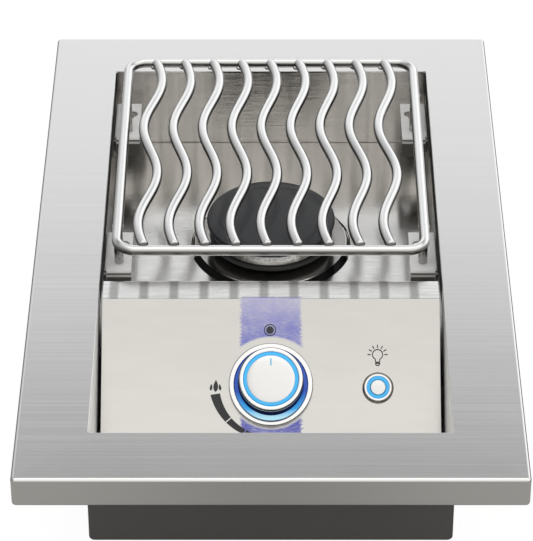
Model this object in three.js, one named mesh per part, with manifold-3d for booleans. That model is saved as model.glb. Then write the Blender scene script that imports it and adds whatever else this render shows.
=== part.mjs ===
// Built in side burner, in millimetres: +Z up, +Y to the back, controls at the front (-Y).
// The origin is under the middle of the trim frame, on the flat underside of the casing.
import * as THREE from "three";
import { mergeVertices } from "three/addons/utils/BufferGeometryUtils.js";
import Module from "manifold-3d";

const wasm = await Module();
wasm.setup();

// Clearances and cuts.
const seam = 0.3; // between sheets and pieces that touch
const overrun = 2; // how far a cut runs past the face that it opens

// Trim frame, the flange that lies on the counter.
const trimWidth = 355.6;
const trimDepth = 568;
const trimFlange = 50.8;
const trimSheet = 1.5;
const trimCorner = 3;
const trimFold = 2.5;
const skirtHeight = 24;
const skirtReturn = 14;
const openingCorner = 2;
const openingEdge = 1;

// Outer casing, the box that hangs in the counter.
const casingDrop = 97;
const casingSheet = 1.2;
const casingCorner = 4;
const casingLip = 12;
const ventLength = 46;
const ventWidth = 6;
const ventPitch = 20;
const ventsPerRow = 5;
const ventRowOffset = 62;

// Inner liner and the burner pan.
const linerSheet = 1;
const panDrop = 70;
const panSheet = 1;
const panLip = 4;
const panFold = 1.6;
const burnerBeforeMiddle = 1.3; // the burner's axis, from the middle of the well
const bossRise = 4.7;
const bossRadius = 59.8;
const bossShoulder = 3.9;
const spigotHole = 20.6;
const ventArcMargin = 0.3; // cut past the boss's shoulder on each side
const ventArcHalfGap = 18; // degrees between an arc's end and the side

// Control panel: rear flange, ledge, slope, foot and front upstand in one bent sheet.
const panelSheet = 1.2;
const panelBend = 2;
const panelSideGap = 2.9;
const panelSlope = 40.2; // degrees
const ledgeBehindOpening = 177.8; // front of the opening to the ledge's rear edge
const ledgeDepth = 22.8;
const panelFootDrop = 84;

// Control knob, measured out from the panel's face.
const knobDownSlope = 65.2;
const bezelRadius = 30.75;
const bezelHeight = 4.6;
const wellRadius = 26.85;
const bezelFloor = 1.2;
const bezelCentreHole = 7.5;
const ledBoardSheet = 1;
const lightRingDepth = 1.6;
const lightRingInner = 19;
const knobRadius = 23.5;
const knobSkirtRadius = 24;
const knobWaistRadius = 21.8;
const knobHeight = 24.6;
const knobSkirtLift = 8;
const knobSkirtBand = 1.6;
const knobRimBand = 5;
const knobWall = 3;
const knobPocket = 3;
const knobHubRadius = 6;
const knobHubLift = 9;
const knobRingOuter = 20.2;
const knobRingInner = 17.4;
const knobPress = 3;
const faceCrown = 0.4;
const partGap = 0.2; // round a piece that sits in a pocket

// Gas valve, measured back from the panel's face.
const stemRadius = 3;
const stemFlat = 2.2;
const stemGap = 0.3;
const stemReach = 17;
const stemTail = 29;
const stemCollarRadius = 5;
const stemCollarBand = 1.2;
const earSpan = 44;
const earWidth = 16;
const earSheet = 4;
const neckRadius = 9;
const neckLength = 8.5;
const bonnetRadius = 15;
const bonnetFlange = 3;
const bonnetSpigot = 5;
const bonnetSpigotWall = 2;
const springChamberRadius = 6;
const bodyFlange = 3;
const barrelRadius = 12.5;
const barrelEnd = 46;
const cavityRadius = 7.5;
const cavityEnd = 42;
const plugLength = 17.5;
const plugPort = 3;
const portLine = 36;
const bossReach = 20;
const inletBossRadius = 7;
const outletBossRadius = 5.5;
const springWire = 1.4;
const springSolidLength = 2.6;
const panelScrewOffset = 15;
const panelScrewRadius = 1.6;
const panelScrewHeadRadius = 3.3;
const panelScrewHead = 1.5;
const screwGap = 0.4;

// Light button, measured from the panel's face.
const buttonFromWall = 48.7;
const buttonDownSlope = 67;
const buttonFlangeRadius = 11.4;
const buttonFlange = 2.1;
const buttonBarrelRadius = 9.4;
const buttonBarrelLength = 22;
const buttonLensOuter = 8.2;
const buttonLensInner = 6;
const buttonLensDepth = 2.5;
const buttonCapRadius = 5.6;
const buttonCapLength = 11;
const buttonCavity = 14;
const nutAcross = 13;
const nutHeight = 4.5;

// Grate of bent rod.
const grateRise = 13.5; // rod centres above the trim
const barRadius = 3.95;
const waveRadius = 3.95;
const waveRise = 3; // wavy rod centres above the frame's
const waveEndInset = 2.1; // from a bar's centre to a rod's end
const grateSideGap = 11.5;
const grateFrontGap = 19;
const grateBackGap = 8.5;
const grateBend = 14;
const waveCount = 9;
const waveAmplitude = 6.3;
const waveLength = 130.5;
const waveCrestFromBack = 34; // from the rear bar to the first crest
const waveShift = -1.4;
const legRadius = 3.5;

// Brackets that carry the grate's legs.
const bracketDrop = 22;
const bracketSheet = 1.5;
const bracketLength = 50.8;
const bracketWidth = 20.7;
const bracketWallFlange = 14;
const bracketLip = 17.5;
const bracketLipCorner = 4;
const bracketHole = 4.3;
const bracketHoleSetIn = 34;
const bracketHoleFromWall = 14.1;
const legSetIn = 12;
const frontBracketGap = 41;
const rearBracketGap = 66.2; // rear end of the rear bracket's plate to the back wall, plus its length

// Burner, measured down from the trim and out from its own axis.
const bowlRadius = 48.5;
const bowlWall = 3;
const bowlTop = 58;
const bowlFloor = 2.5;
const bowlSpigotRadius = 20.2;
const bowlThroat = 17;
const bowlSpigotLength = 11;
const headRadius = 46.5;
const headInner = 41;
const headSkirt = 4.2;
const portCount = 24;
const portWidth = 2;
const portDepth = 2.6;
const capRadius = 50.5;
const capBottom = 46.5;
const capRim = 3.5;
const capCrown = 0.9;
const capStepRadius = 40;
const capSkirtOuter = 40.5;
const capSkirtInner = 36;
const capSkirt = 3.5;
const cupRadius = 23;
const cupBore = 20.5;
const cupFlangeRadius = 34;
const cupFlange = 2;
const cupFloor = 2;
const venturiRadius = 10;
const venturiBore = 8.7;
const venturiThroat = 7.2;
const venturiBehindLedge = 30.65;
const venturiBell = 14;
const socketLength = 12;
const socketWall = 1.6;
const airWindowLength = 9;
const airWindowWidth = 8;
const airWindowSetIn = 5;
const shutterWall = 1.2;
const shutterLength = 20;

// Gas line.
const orificeRadius = 5.2; // hexagon, to its corners
const orificeHex = 9;
const orificeTip = 7;
const orificeTipRadius = 3.4;
const orificeBore = 0.9;
const orificeBracketSheet = 1.5;
const orificeBracketWidth = 26;
const orificeBracketFoot = 16;
const feedRadius = 3;
const feedBore = 2;
const inletRadius = 5;
const inletBore = 3.8;
const inletShare = 55 / 127; // of the way from the middle to the side wall
const inletDrop = 85.3;
const tubeSideRun = 14;
const fittingThreadRadius = 7.9;
const fittingHexRadius = 10.6;
const fittingHex = 6;
const fittingThread = 19;
const fittingTail = 16;
const fittingBore = 4.5;
const locknutRadius = 10.9;
const locknutHeight = 5;

// Ignition and lights.
const electrodeInsideBoss = 5.1; // from the boss's edge in to the electrode's axis
const ceramicRadius = 3.2;
const ceramicCollarRadius = 4.6;
const ceramicCollar = 1.6;
const ceramicBelow = 13;
const ceramicAbove = 6;
const electrodeRadius = 1.1;
const electrodeRise = 5.5;
const electrodeReach = 6;
const electrodeTipRise = 2.2;
const leadRadius = 1.8;
const moduleWidth = 52;
const moduleDepth = 46;
const moduleHeight = 20;
const moduleFromWall = 31;
const moduleFromOpening = 100;
const jackShare = 95 / 127; // of the way from the middle to the side wall
const jackRadius = 5.8;
const jackFlangeRadius = 8.5;
const jackFlange = 2;
const jackBody = 18;
const jackBore = 2.8;
const jackDepth = 9;
const lightLeadRadius = 2.2;

// Facets: sides of round pieces and steps of bends.
const fineSides = 32;
const roundSides = 24;
const smallSides = 12;
const rodSides = 12;
const waveSides = 8;
const tubeSides = 6;
const bendSteps = 2;
const slotSteps = 12;
const waveSteps = 20;

// Lines that several pieces share. Heights are down from the trim's top, depths from its middle.
const degree = Math.PI / 180;
const openingWidth = trimWidth - 2 * trimFlange;
const openingDepth = trimDepth - 2 * trimFlange;
const wallX = openingWidth / 2;
const buttonRight = wallX - buttonFromWall;
const inletRight = wallX * inletShare;
const jackRight = wallX * jackShare;
const moduleLeft = wallX - moduleFromWall;
const frontY = -openingDepth / 2;
const backY = openingDepth / 2;
const underTrim = -(trimSheet + seam);
const casingInX = wallX + linerSheet + seam;
const casingInY = backY + linerSheet + seam;
const casingOutX = casingInX + casingSheet;
const casingOutY = casingInY + casingSheet;
const casingFloorZ = casingSheet - casingDrop;
const linerBottomZ = casingFloorZ + seam;
const ledgeBackY = frontY + ledgeBehindOpening;
const foldY = ledgeBackY - ledgeDepth;
const panFrontY = ledgeBackY - panelSheet;
const burnerY = (panFrontY + backY) / 2 - burnerBeforeMiddle;
const bossTopZ = bossRise - panDrop;
const electrodeFromAxis = bossRadius - electrodeInsideBoss;
const venturiZ = (casingFloorZ - panDrop - panSheet) / 2;
const venturiMouthY = ledgeBackY + venturiBehindLedge;
const slopeAngle = panelSlope * degree;

const finish = (color, roughness, metalness) => () =>
  new THREE.MeshStandardMaterial({ color, roughness, metalness });
const brushedSteel = finish(0xc4c4c2, 0.34, 1);
const brightSteel = finish(0xdcdcda, 0.2, 1);
const rodSteel = finish(0xe2e2e2, 0.22, 1);
const coatedSteel = finish(0x444443, 0.6, 0.2);
const enamel = finish(0x2e2e31, 0.55, 0);
const castAluminium = finish(0xb4b4b2, 0.42, 1);
const brass = finish(0xb08d4e, 0.35, 1);
const aluminium = finish(0xc9c9c9, 0.35, 1);
const chrome = finish(0xf0f0f0, 0.08, 1);
const cyanLens = finish(0x46c3f5, 0.3, 0);
const blueLens = finish(0x2f62c8, 0.3, 0);
const boardGreen = finish(0x1f5a37, 0.5, 0);
const blackPlastic = finish(0x1c1c1c, 0.5, 0);
const whiteCeramic = finish(0xece8dd, 0.4, 0);
const redSilicone = finish(0x9c2f28, 0.6, 0);

// A closed geometry as a solid that can be joined and cut.
function solidOf(geometry) {
  const bare = new THREE.BufferGeometry().setAttribute(
    "position",
    (geometry.index ? geometry.toNonIndexed() : geometry).getAttribute("position"),
  );
  const merged = mergeVertices(bare, 1e-4);
  return new wasm.Manifold(
    new wasm.Mesh({
      numProp: 3,
      vertProperties: new Float32Array(merged.attributes.position.array),
      triVerts: new Uint32Array(merged.index.array),
    }),
  );
}

// A solid back as a faceted geometry.
function geometryOf(solid) {
  const mesh = solid.getMesh();
  const geometry = new THREE.BufferGeometry();
  geometry.setAttribute("position", new THREE.BufferAttribute(new Float32Array(mesh.vertProperties), 3));
  geometry.setIndex(new THREE.BufferAttribute(new Uint32Array(mesh.triVerts), 1));
  const faceted = geometry.toNonIndexed();
  faceted.computeVertexNormals();
  return faceted;
}

function join(...geometries) {
  return geometryOf(geometries.map(solidOf).reduce((whole, solid) => whole.add(solid)));
}

function cut(geometry, ...cutters) {
  return geometryOf(cutters.map(solidOf).reduce((left, solid) => left.subtract(solid), solidOf(geometry)));
}

function block(lowX, highX, lowY, highY, lowZ, highZ) {
  const box = new THREE.BoxGeometry(highX - lowX, highY - lowY, highZ - lowZ);
  return box.translate((lowX + highX) / 2, (lowY + highY) / 2, (lowZ + highZ) / 2);
}

// A round bar along Z, from low to high.
function bar(radius, low, high, sides = smallSides) {
  const geometry = new THREE.CylinderGeometry(radius, radius, high - low, sides);
  return geometry.rotateX(Math.PI / 2).translate(0, 0, (low + high) / 2);
}

// The same bar along X or Y.
const barX = (radius, low, high, sides) => bar(radius, low, high, sides).rotateY(Math.PI / 2);
const barY = (radius, low, high, sides) => bar(radius, low, high, sides).rotateX(-Math.PI / 2);

// A hexagonal bar along Y with a flat side up; its radius runs to the corners.
const hexY = (radius, low, high) => bar(radius, low, high, 6).rotateZ(Math.PI / 6).rotateX(-Math.PI / 2);

// A turned piece about Z: its outline is given as [radius, height] pairs, anticlockwise.
function turned(outline, sides = fineSides) {
  const points = outline.map(([radius, height]) => new THREE.Vector2(radius, height));
  const closed = outline[0][0] > 0 ? [...points, points[0].clone()] : points;
  return new THREE.LatheGeometry(closed, sides).rotateX(Math.PI / 2);
}

function roundedRectangle(width, depth, corner, path = new THREE.Shape()) {
  const x = width / 2;
  const y = depth / 2;
  path.moveTo(-x + corner, -y);
  path.lineTo(x - corner, -y);
  path.absarc(x - corner, -y + corner, corner, -Math.PI / 2, 0, false);
  path.lineTo(x, y - corner);
  path.absarc(x - corner, y - corner, corner, 0, Math.PI / 2, false);
  path.lineTo(-x + corner, y);
  path.absarc(-x + corner, y - corner, corner, Math.PI / 2, Math.PI, false);
  path.lineTo(-x, -y + corner);
  path.absarc(-x + corner, -y + corner, corner, Math.PI, 1.5 * Math.PI, false);
  return path;
}

// A plate from low to high whose edges are rounded by fold, kept inside width by depth.
function foldedSlab(width, depth, corner, low, high, fold) {
  const shape = roundedRectangle(width - 2 * fold, depth - 2 * fold, Math.max(corner - fold, seam));
  const geometry = new THREE.ExtrudeGeometry(shape, {
    depth: high - low - 2 * fold,
    bevelThickness: fold,
    bevelSize: fold,
    bevelSegments: bendSteps,
    curveSegments: bendSteps,
  });
  return geometry.translate(0, 0, low + fold);
}

function plate(shape, low, high, curveSegments = bendSteps) {
  const geometry = new THREE.ExtrudeGeometry(shape, {
    depth: high - low,
    bevelEnabled: false,
    curveSegments,
  });
  return geometry.translate(0, 0, low);
}

// Turns a geometry drawn in X and Y and raised in Z so that it lies in Y and Z and runs along X.
function alongX(geometry) {
  const turn = new THREE.Matrix4().makeBasis(
    new THREE.Vector3(0, 1, 0),
    new THREE.Vector3(0, 0, 1),
    new THREE.Vector3(1, 0, 0),
  );
  return geometry.applyMatrix4(turn);
}

// The corners of a line, each rounded by an arc of its own radius. Points are Vector2 or Vector3.
function roundedCorners(points, radii, steps = bendSteps) {
  const line = [points[0]];
  for (let i = 1; i < points.length - 1; i++) {
    const toBefore = points[i - 1].clone().sub(points[i]).normalize();
    const toAfter = points[i + 1].clone().sub(points[i]).normalize();
    const half = Math.acos(THREE.MathUtils.clamp(toBefore.dot(toAfter), -1, 1)) / 2;
    const reach = radii[i - 1] / Math.tan(half);
    const middle = toBefore.clone().add(toAfter).normalize();
    const centre = points[i].clone().addScaledVector(middle, radii[i - 1] / Math.sin(half));
    const from = points[i].clone().addScaledVector(toBefore, reach).sub(centre);
    const to = points[i].clone().addScaledVector(toAfter, reach).sub(centre);
    const sweep = Math.PI - 2 * half;
    for (let step = 0; step <= steps; step++) {
      const share = step / steps;
      const a = Math.sin((1 - share) * sweep) / Math.sin(sweep);
      const b = Math.sin(share * sweep) / Math.sin(sweep);
      line.push(centre.clone().addScaledVector(from, a).addScaledVector(to, b));
    }
  }
  line.push(points[points.length - 1]);
  return line;
}

// The outline of a bent sheet: its outer side is the line, and its thickness lies to the left.
function bentSheet(corners, thickness, bend) {
  const points = corners.map(([x, y]) => new THREE.Vector2(x, y));
  const headings = points.slice(1).map((point, i) => point.clone().sub(points[i]).normalize());
  const lefts = headings.map((heading) => new THREE.Vector2(-heading.y, heading.x));
  const inner = points.map((point, i) => {
    const before = lefts[Math.max(i - 1, 0)];
    const after = lefts[Math.min(i, lefts.length - 1)];
    const middle = before.clone().add(after);
    return point.clone().addScaledVector(middle, (2 * thickness) / middle.lengthSq());
  });
  const turnsLeft = headings.slice(1).map((heading, i) => headings[i].cross(heading) > 0);
  const outerRadii = turnsLeft.map((left) => (left ? bend : bend - thickness));
  const innerRadii = turnsLeft.map((left) => (left ? bend - thickness : bend));
  const outline = [...roundedCorners(points, outerRadii), ...roundedCorners(inner, innerRadii).reverse()];
  return new THREE.Shape(outline);
}

// A bent line whose points and headings are taken as they are.
class BentLine extends THREE.Curve {
  constructor(points) {
    super();
    this.points = points;
  }

  getPoint(share, target = new THREE.Vector3()) {
    return target.copy(this.points[Math.round(share * (this.points.length - 1))]);
  }

  getPointAt(share, target) {
    return this.getPoint(share, target);
  }

  getTangentAt(share, target = new THREE.Vector3()) {
    const last = this.points.length - 1;
    const i = Math.round(share * last);
    const before = this.points[Math.max(i - 1, 0)];
    const here = this.points[i];
    const after = this.points[Math.min(i + 1, last)];
    const arriving = i > 0 ? here.clone().sub(before).normalize() : after.clone().sub(here).normalize();
    const leaving = i < last ? after.clone().sub(here).normalize() : arriving.clone();
    return target.copy(arriving.add(leaving).normalize());
  }
}

function ring(radius, sides, path = new THREE.Shape()) {
  for (let side = 0; side < sides; side++) {
    const angle = ((side + 0.5) / sides) * 2 * Math.PI;
    path[side ? "lineTo" : "moveTo"](radius * Math.cos(angle), radius * Math.sin(angle));
  }
  path.closePath();
  return path;
}

// A rod of one radius along corners that are rounded by bend, or a tube where it has a bore.
function bentRod(corners, radius, bend, sides, bore = 0) {
  const points = corners.map(([x, y, z]) => new THREE.Vector3(x, y, z));
  const bends = new Array(points.length - 2).fill(bend);
  const line = new BentLine(points.length > 2 ? roundedCorners(points, bends) : points);
  const section = ring(radius, sides);
  if (bore > 0) section.holes.push(ring(bore, sides, new THREE.Path()));
  return new THREE.ExtrudeGeometry(section, {
    steps: line.points.length - 1,
    bevelEnabled: false,
    extrudePath: line,
  });
}

// A slot with round ends, length overall, along Y.
function slot(length, width) {
  const shape = new THREE.Shape();
  const reach = (length - width) / 2;
  shape.moveTo(width / 2, -reach);
  shape.lineTo(width / 2, reach);
  shape.absarc(0, reach, width / 2, 0, Math.PI, false);
  shape.lineTo(-width / 2, -reach);
  shape.absarc(0, -reach, width / 2, Math.PI, 2 * Math.PI, false);
  return shape;
}

// The points of an arc about a centre, from one angle to another.
function arcPoints(centre, radius, from, to, steps) {
  return Array.from({ length: steps + 1 }, (_, step) => {
    const angle = THREE.MathUtils.lerp(from, to, step / steps);
    return centre.clone().add(new THREE.Vector2(radius * Math.cos(angle), radius * Math.sin(angle)));
  });
}

// A slot bent along an arc about the origin, with round ends.
function arcSlot(inner, outer, from, to) {
  const middle = (inner + outer) / 2;
  const endRadius = (outer - inner) / 2;
  const origin = new THREE.Vector2();
  const onMiddle = (angle) => new THREE.Vector2(middle * Math.cos(angle), middle * Math.sin(angle));
  return new THREE.Shape([
    ...arcPoints(origin, outer, from, to, slotSteps),
    ...arcPoints(onMiddle(to), endRadius, to, to + Math.PI, 2 * bendSteps).slice(1),
    ...arcPoints(origin, inner, to, from, slotSteps).slice(1),
    ...arcPoints(onMiddle(from), endRadius, from + Math.PI, from + 2 * Math.PI, 2 * bendSteps).slice(1, -1),
  ]);
}

function piece(name, geometry, material, position = [0, 0, 0]) {
  const mesh = new THREE.Mesh(geometry, material());
  mesh.name = name;
  mesh.position.set(...position);
  return mesh;
}

function trimFrame() {
  const outer = foldedSlab(trimWidth, trimDepth, trimCorner, -skirtHeight, 0, trimFold);
  const hollow = foldedSlab(
    trimWidth - 2 * trimSheet,
    trimDepth - 2 * trimSheet,
    trimCorner - trimSheet,
    trimSheet - skirtHeight,
    -trimSheet,
    trimFold - trimSheet,
  );
  const underside = plate(
    roundedRectangle(trimWidth - 2 * skirtReturn, trimDepth - 2 * skirtReturn, trimCorner),
    -skirtHeight - overrun,
    -skirtHeight / 2,
  );
  const flare = openingCorner + openingEdge;
  const mouth = new THREE.ExtrudeGeometry(
    roundedRectangle(openingWidth + 2 * openingEdge, openingDepth + 2 * openingEdge, flare),
    {
      depth: overrun,
      bevelThickness: openingEdge,
      bevelSize: -openingEdge,
      bevelSegments: bendSteps,
      curveSegments: bendSteps,
    },
  ).translate(0, 0, -openingEdge - overrun);
  return piece("trim_frame", cut(outer, hollow, underside, mouth), brushedSteel);
}

function casingVents() {
  const cuts = [];
  for (const row of [-1, 1]) {
    for (let i = 0; i < ventsPerRow; i++) {
      const x = (i - (ventsPerRow - 1) / 2) * ventPitch;
      const hole = plate(slot(ventLength, ventWidth), -casingDrop - overrun, casingFloorZ + overrun);
      cuts.push(hole.translate(x, burnerY + row * ventRowOffset, 0));
    }
  }
  return cuts;
}

function outerCasing() {
  const profile = new THREE.Shape();
  profile.moveTo(-casingOutX, underTrim);
  profile.lineTo(-casingOutX, casingCorner - casingDrop);
  profile.absarc(casingCorner - casingOutX, casingCorner - casingDrop, casingCorner, Math.PI, 1.5 * Math.PI, false);
  profile.lineTo(casingOutX - casingCorner, -casingDrop);
  profile.absarc(casingOutX - casingCorner, casingCorner - casingDrop, casingCorner, -Math.PI / 2, 0, false);
  profile.lineTo(casingOutX, underTrim);
  const shell = plate(profile, -casingOutY, casingOutY).rotateX(Math.PI / 2);
  const lip = block(
    -casingOutX - casingLip,
    casingOutX + casingLip,
    -casingOutY - casingLip,
    casingOutY + casingLip,
    underTrim - casingSheet,
    underTrim,
  );
  const inside = block(-casingInX, casingInX, -casingInY, casingInY, casingFloorZ, overrun);
  const backHoles = [
    barY(fittingThreadRadius + screwGap, casingInY - overrun, casingOutY + overrun).translate(inletRight, 0, -inletDrop),
    barY(jackRadius + screwGap, casingInY - overrun, casingOutY + overrun).translate(jackRight, 0, -inletDrop),
  ];
  return piece("outer_casing", cut(join(shell, lip), inside, ...casingVents(), ...backHoles), coatedSteel);
}

function sideLiner(name, side) {
  const sheet = block(0, linerSheet, -casingInY + seam, casingInY - seam, linerBottomZ, underTrim);
  return piece(name, sheet, brushedSteel, [side > 0 ? wallX : -wallX - linerSheet, 0, 0]);
}

function backLiner() {
  const sheet = block(seam - wallX, wallX - seam, backY, backY + linerSheet, linerBottomZ, underTrim);
  const inletHole = barY(fittingThreadRadius + screwGap, backY - overrun, casingInY).translate(inletRight, 0, -inletDrop);
  const jackHole = barY(jackRadius + screwGap, backY - overrun, casingInY).translate(jackRight, 0, -inletDrop);
  return piece("liner_back", cut(sheet, inletHole, jackHole), brushedSteel);
}

function burnerPan() {
  const width = openingWidth - 2 * seam;
  const depth = backY - seam - panFrontY;
  const middleY = (panFrontY + backY - seam) / 2;
  const low = -panDrop - panSheet - panLip;
  const tray = foldedSlab(width, depth, panFold, low - panFold, -panDrop, panFold).translate(0, middleY, 0);
  const boss = turned([
    [0, -panDrop - panSheet / 2],
    [bossRadius + bossShoulder, -panDrop - panSheet / 2],
    [bossRadius + bossShoulder, -panDrop],
    [bossRadius, bossTopZ],
    [0, bossTopZ],
  ]).translate(0, burnerY, 0);
  const under = block(
    panSheet - width / 2,
    width / 2 - panSheet,
    middleY - depth / 2 + panSheet,
    middleY + depth / 2 - panSheet,
    low - panFold - overrun,
    -panDrop - panSheet,
  );
  const bossUnder = turned([
    [0, -panDrop - panSheet - overrun],
    [bossRadius + bossShoulder - panSheet, -panDrop - panSheet - overrun],
    [bossRadius + bossShoulder - panSheet, -panDrop - panSheet],
    [bossRadius - panSheet, bossTopZ - panSheet],
    [0, bossTopZ - panSheet],
  ]).translate(0, burnerY, 0);
  const trimLow = block(-width, width, -trimDepth, trimDepth, low - panFold - overrun, low);
  const hole = bar(spigotHole, -panDrop, overrun - panDrop + bossRise, fineSides).translate(0, burnerY, 0);
  const halfGap = ventArcHalfGap * degree;
  const ventInner = bossRadius - ventArcMargin;
  const ventOuter = bossRadius + bossShoulder + ventArcMargin;
  const slots = [halfGap, Math.PI + halfGap].map((from) =>
    plate(
      arcSlot(ventInner, ventOuter, from, from + Math.PI - 2 * halfGap),
      -panDrop - overrun,
      bossTopZ + overrun,
    ).translate(0, burnerY, 0),
  );
  const ceramicHole = bar(ceramicRadius + screwGap, -panDrop, bossTopZ + overrun).translate(
    0,
    burnerY + electrodeFromAxis,
    0,
  );
  const pan = cut(join(tray, boss), under, bossUnder, trimLow, hole, ...slots, ceramicHole);
  return piece("burner_pan", pan, brushedSteel);
}

function controlPanel() {
  const footY = foldY - panelFootDrop / Math.tan(slopeAngle);
  const profile = bentSheet(
    [
      [ledgeBackY, seam - panDrop],
      [ledgeBackY, 0],
      [foldY, 0],
      [footY, -panelFootDrop],
      [frontY, -panelFootDrop],
      [frontY, underTrim],
    ],
    panelSheet,
    panelBend,
  );
  const halfWidth = wallX - panelSideGap;
  const sheet = alongX(plate(profile, -halfWidth, halfWidth));
  const onPanel = (geometry, x, downSlope) =>
    geometry.translate(x, -downSlope, 0).rotateX(slopeAngle).translate(0, foldY, 0);
  const depth = panelSheet + overrun;
  const stemHole = onPanel(bar(bezelCentreHole, -depth, depth), 0, knobDownSlope);
  const screwHoles = [-1, 1].map((side) =>
    onPanel(bar(panelScrewRadius + screwGap, -depth, depth), side * panelScrewOffset, knobDownSlope),
  );
  const buttonHole = onPanel(bar(buttonBarrelRadius + seam, -depth, depth, roundSides), buttonRight, buttonDownSlope);
  return piece("control_panel", cut(sheet, stemHole, ...screwHoles, buttonHole), brushedSteel);
}

// A grate bracket: plate, wall flange and front lip, drawn for the right side with its front at Y 0.
function grateBracket(name, side, atY) {
  const outerX = wallX - seam;
  const innerX = outerX - bracketWidth;
  const top = block(innerX, outerX, 0, bracketLength, -bracketDrop - bracketSheet, -bracketDrop);
  const wallFlange = block(
    outerX - bracketSheet,
    outerX,
    0,
    bracketLength,
    -bracketDrop - bracketWallFlange,
    -bracketDrop - bracketSheet / 2,
  );
  const lip = new THREE.Shape();
  lip.moveTo(outerX, -bracketDrop - bracketSheet / 2);
  lip.lineTo(innerX, -bracketDrop - bracketSheet / 2);
  lip.lineTo(innerX, bracketLipCorner - bracketDrop - bracketLip);
  const cornerZ = bracketLipCorner - bracketDrop - bracketLip;
  lip.absarc(innerX + bracketLipCorner, cornerZ, bracketLipCorner, Math.PI, 1.5 * Math.PI, false);
  lip.lineTo(outerX, -bracketDrop - bracketLip);
  const frontLip = plate(lip, -bracketSheet, 0).rotateX(Math.PI / 2);
  const hole = bar(bracketHole, -bracketDrop - overrun - bracketSheet, overrun - bracketDrop).translate(
    wallX - bracketHoleFromWall,
    bracketHoleSetIn,
    0,
  );
  const bracket = cut(join(top, wallFlange, frontLip), hole);
  const mesh = piece(name, side > 0 ? bracket : mirrored(bracket), brightSteel, [0, atY, 0]);
  return mesh;
}

// A geometry mirrored left to right, with its faces turned back outwards.
function mirrored(geometry) {
  const flipped = geometry.clone().scale(-1, 1, 1);
  const position = flipped.getAttribute("position");
  for (let i = 0; i < position.count; i += 3) {
    const second = new THREE.Vector3().fromBufferAttribute(position, i + 1);
    const third = new THREE.Vector3().fromBufferAttribute(position, i + 2);
    position.setXYZ(i + 1, third.x, third.y, third.z);
    position.setXYZ(i + 2, second.x, second.y, second.z);
  }
  flipped.computeVertexNormals();
  return flipped;
}

// The grate: a bent frame, nine wavy rods between its bars and four legs under its sides.
function grate() {
  const group = new THREE.Group();
  const halfX = wallX - grateSideGap;
  const frontBarY = ledgeBackY + grateFrontGap;
  const backBarY = backY - grateBackGap;
  const wavePitch = (2 * halfX) / (waveCount + 1);
  const middleY = (frontBarY + backBarY) / 2;
  const halfY = (backBarY - frontBarY) / 2;
  const halfLoop = [
    [0, -halfY, 0],
    [halfX, -halfY, 0],
    [halfX, halfY, 0],
    [0, halfY, 0],
  ];
  const loop = (radius) => {
    const half = bentRod(halfLoop, radius, grateBend, rodSides);
    return join(half, half.clone().rotateZ(Math.PI));
  };
  group.add(piece("grate_frame", loop(barRadius), rodSteel));

  const reach = halfY - waveEndInset;
  class Wave extends THREE.Curve {
    getPoint(share, target = new THREE.Vector3()) {
      const y = THREE.MathUtils.lerp(-reach, reach, share);
      const phase = ((y - halfY + waveCrestFromBack) / waveLength) * 2 * Math.PI;
      return target.set(waveAmplitude * Math.cos(phase), y, waveRise);
    }
  }
  const stock = new THREE.ExtrudeGeometry(ring(waveRadius, waveSides), {
    steps: waveSteps,
    bevelEnabled: false,
    extrudePath: new Wave(),
  });
  const cope = loop(barRadius + seam);
  for (let i = 0; i < waveCount; i++) {
    const x = waveShift + (i - (waveCount - 1) / 2) * wavePitch;
    group.add(piece("wave_rod_" + (i + 1), cut(stock.clone().translate(x, 0, 0), cope), rodSteel));
  }

  const legFoot = seam - bracketDrop - grateRise;
  const leg = cut(
    bar(legRadius, legFoot, 0, rodSides),
    barY(barRadius + seam, -legRadius - overrun, legRadius + overrun, rodSides),
    block(-barRadius, barRadius, -barRadius, barRadius, 0, overrun),
  );
  const legYs = { front: ledgeBackY + frontBracketGap + legSetIn, rear: backY - rearBracketGap + legSetIn };
  for (const [end, y] of Object.entries(legYs)) {
    group.add(piece("grate_leg_" + end + "_left", leg.clone(), rodSteel, [-halfX, y - middleY, 0]));
    group.add(piece("grate_leg_" + end + "_right", leg.clone(), rodSteel, [halfX, y - middleY, 0]));
  }
  group.position.set(0, middleY, grateRise);
  return group;
}

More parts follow.
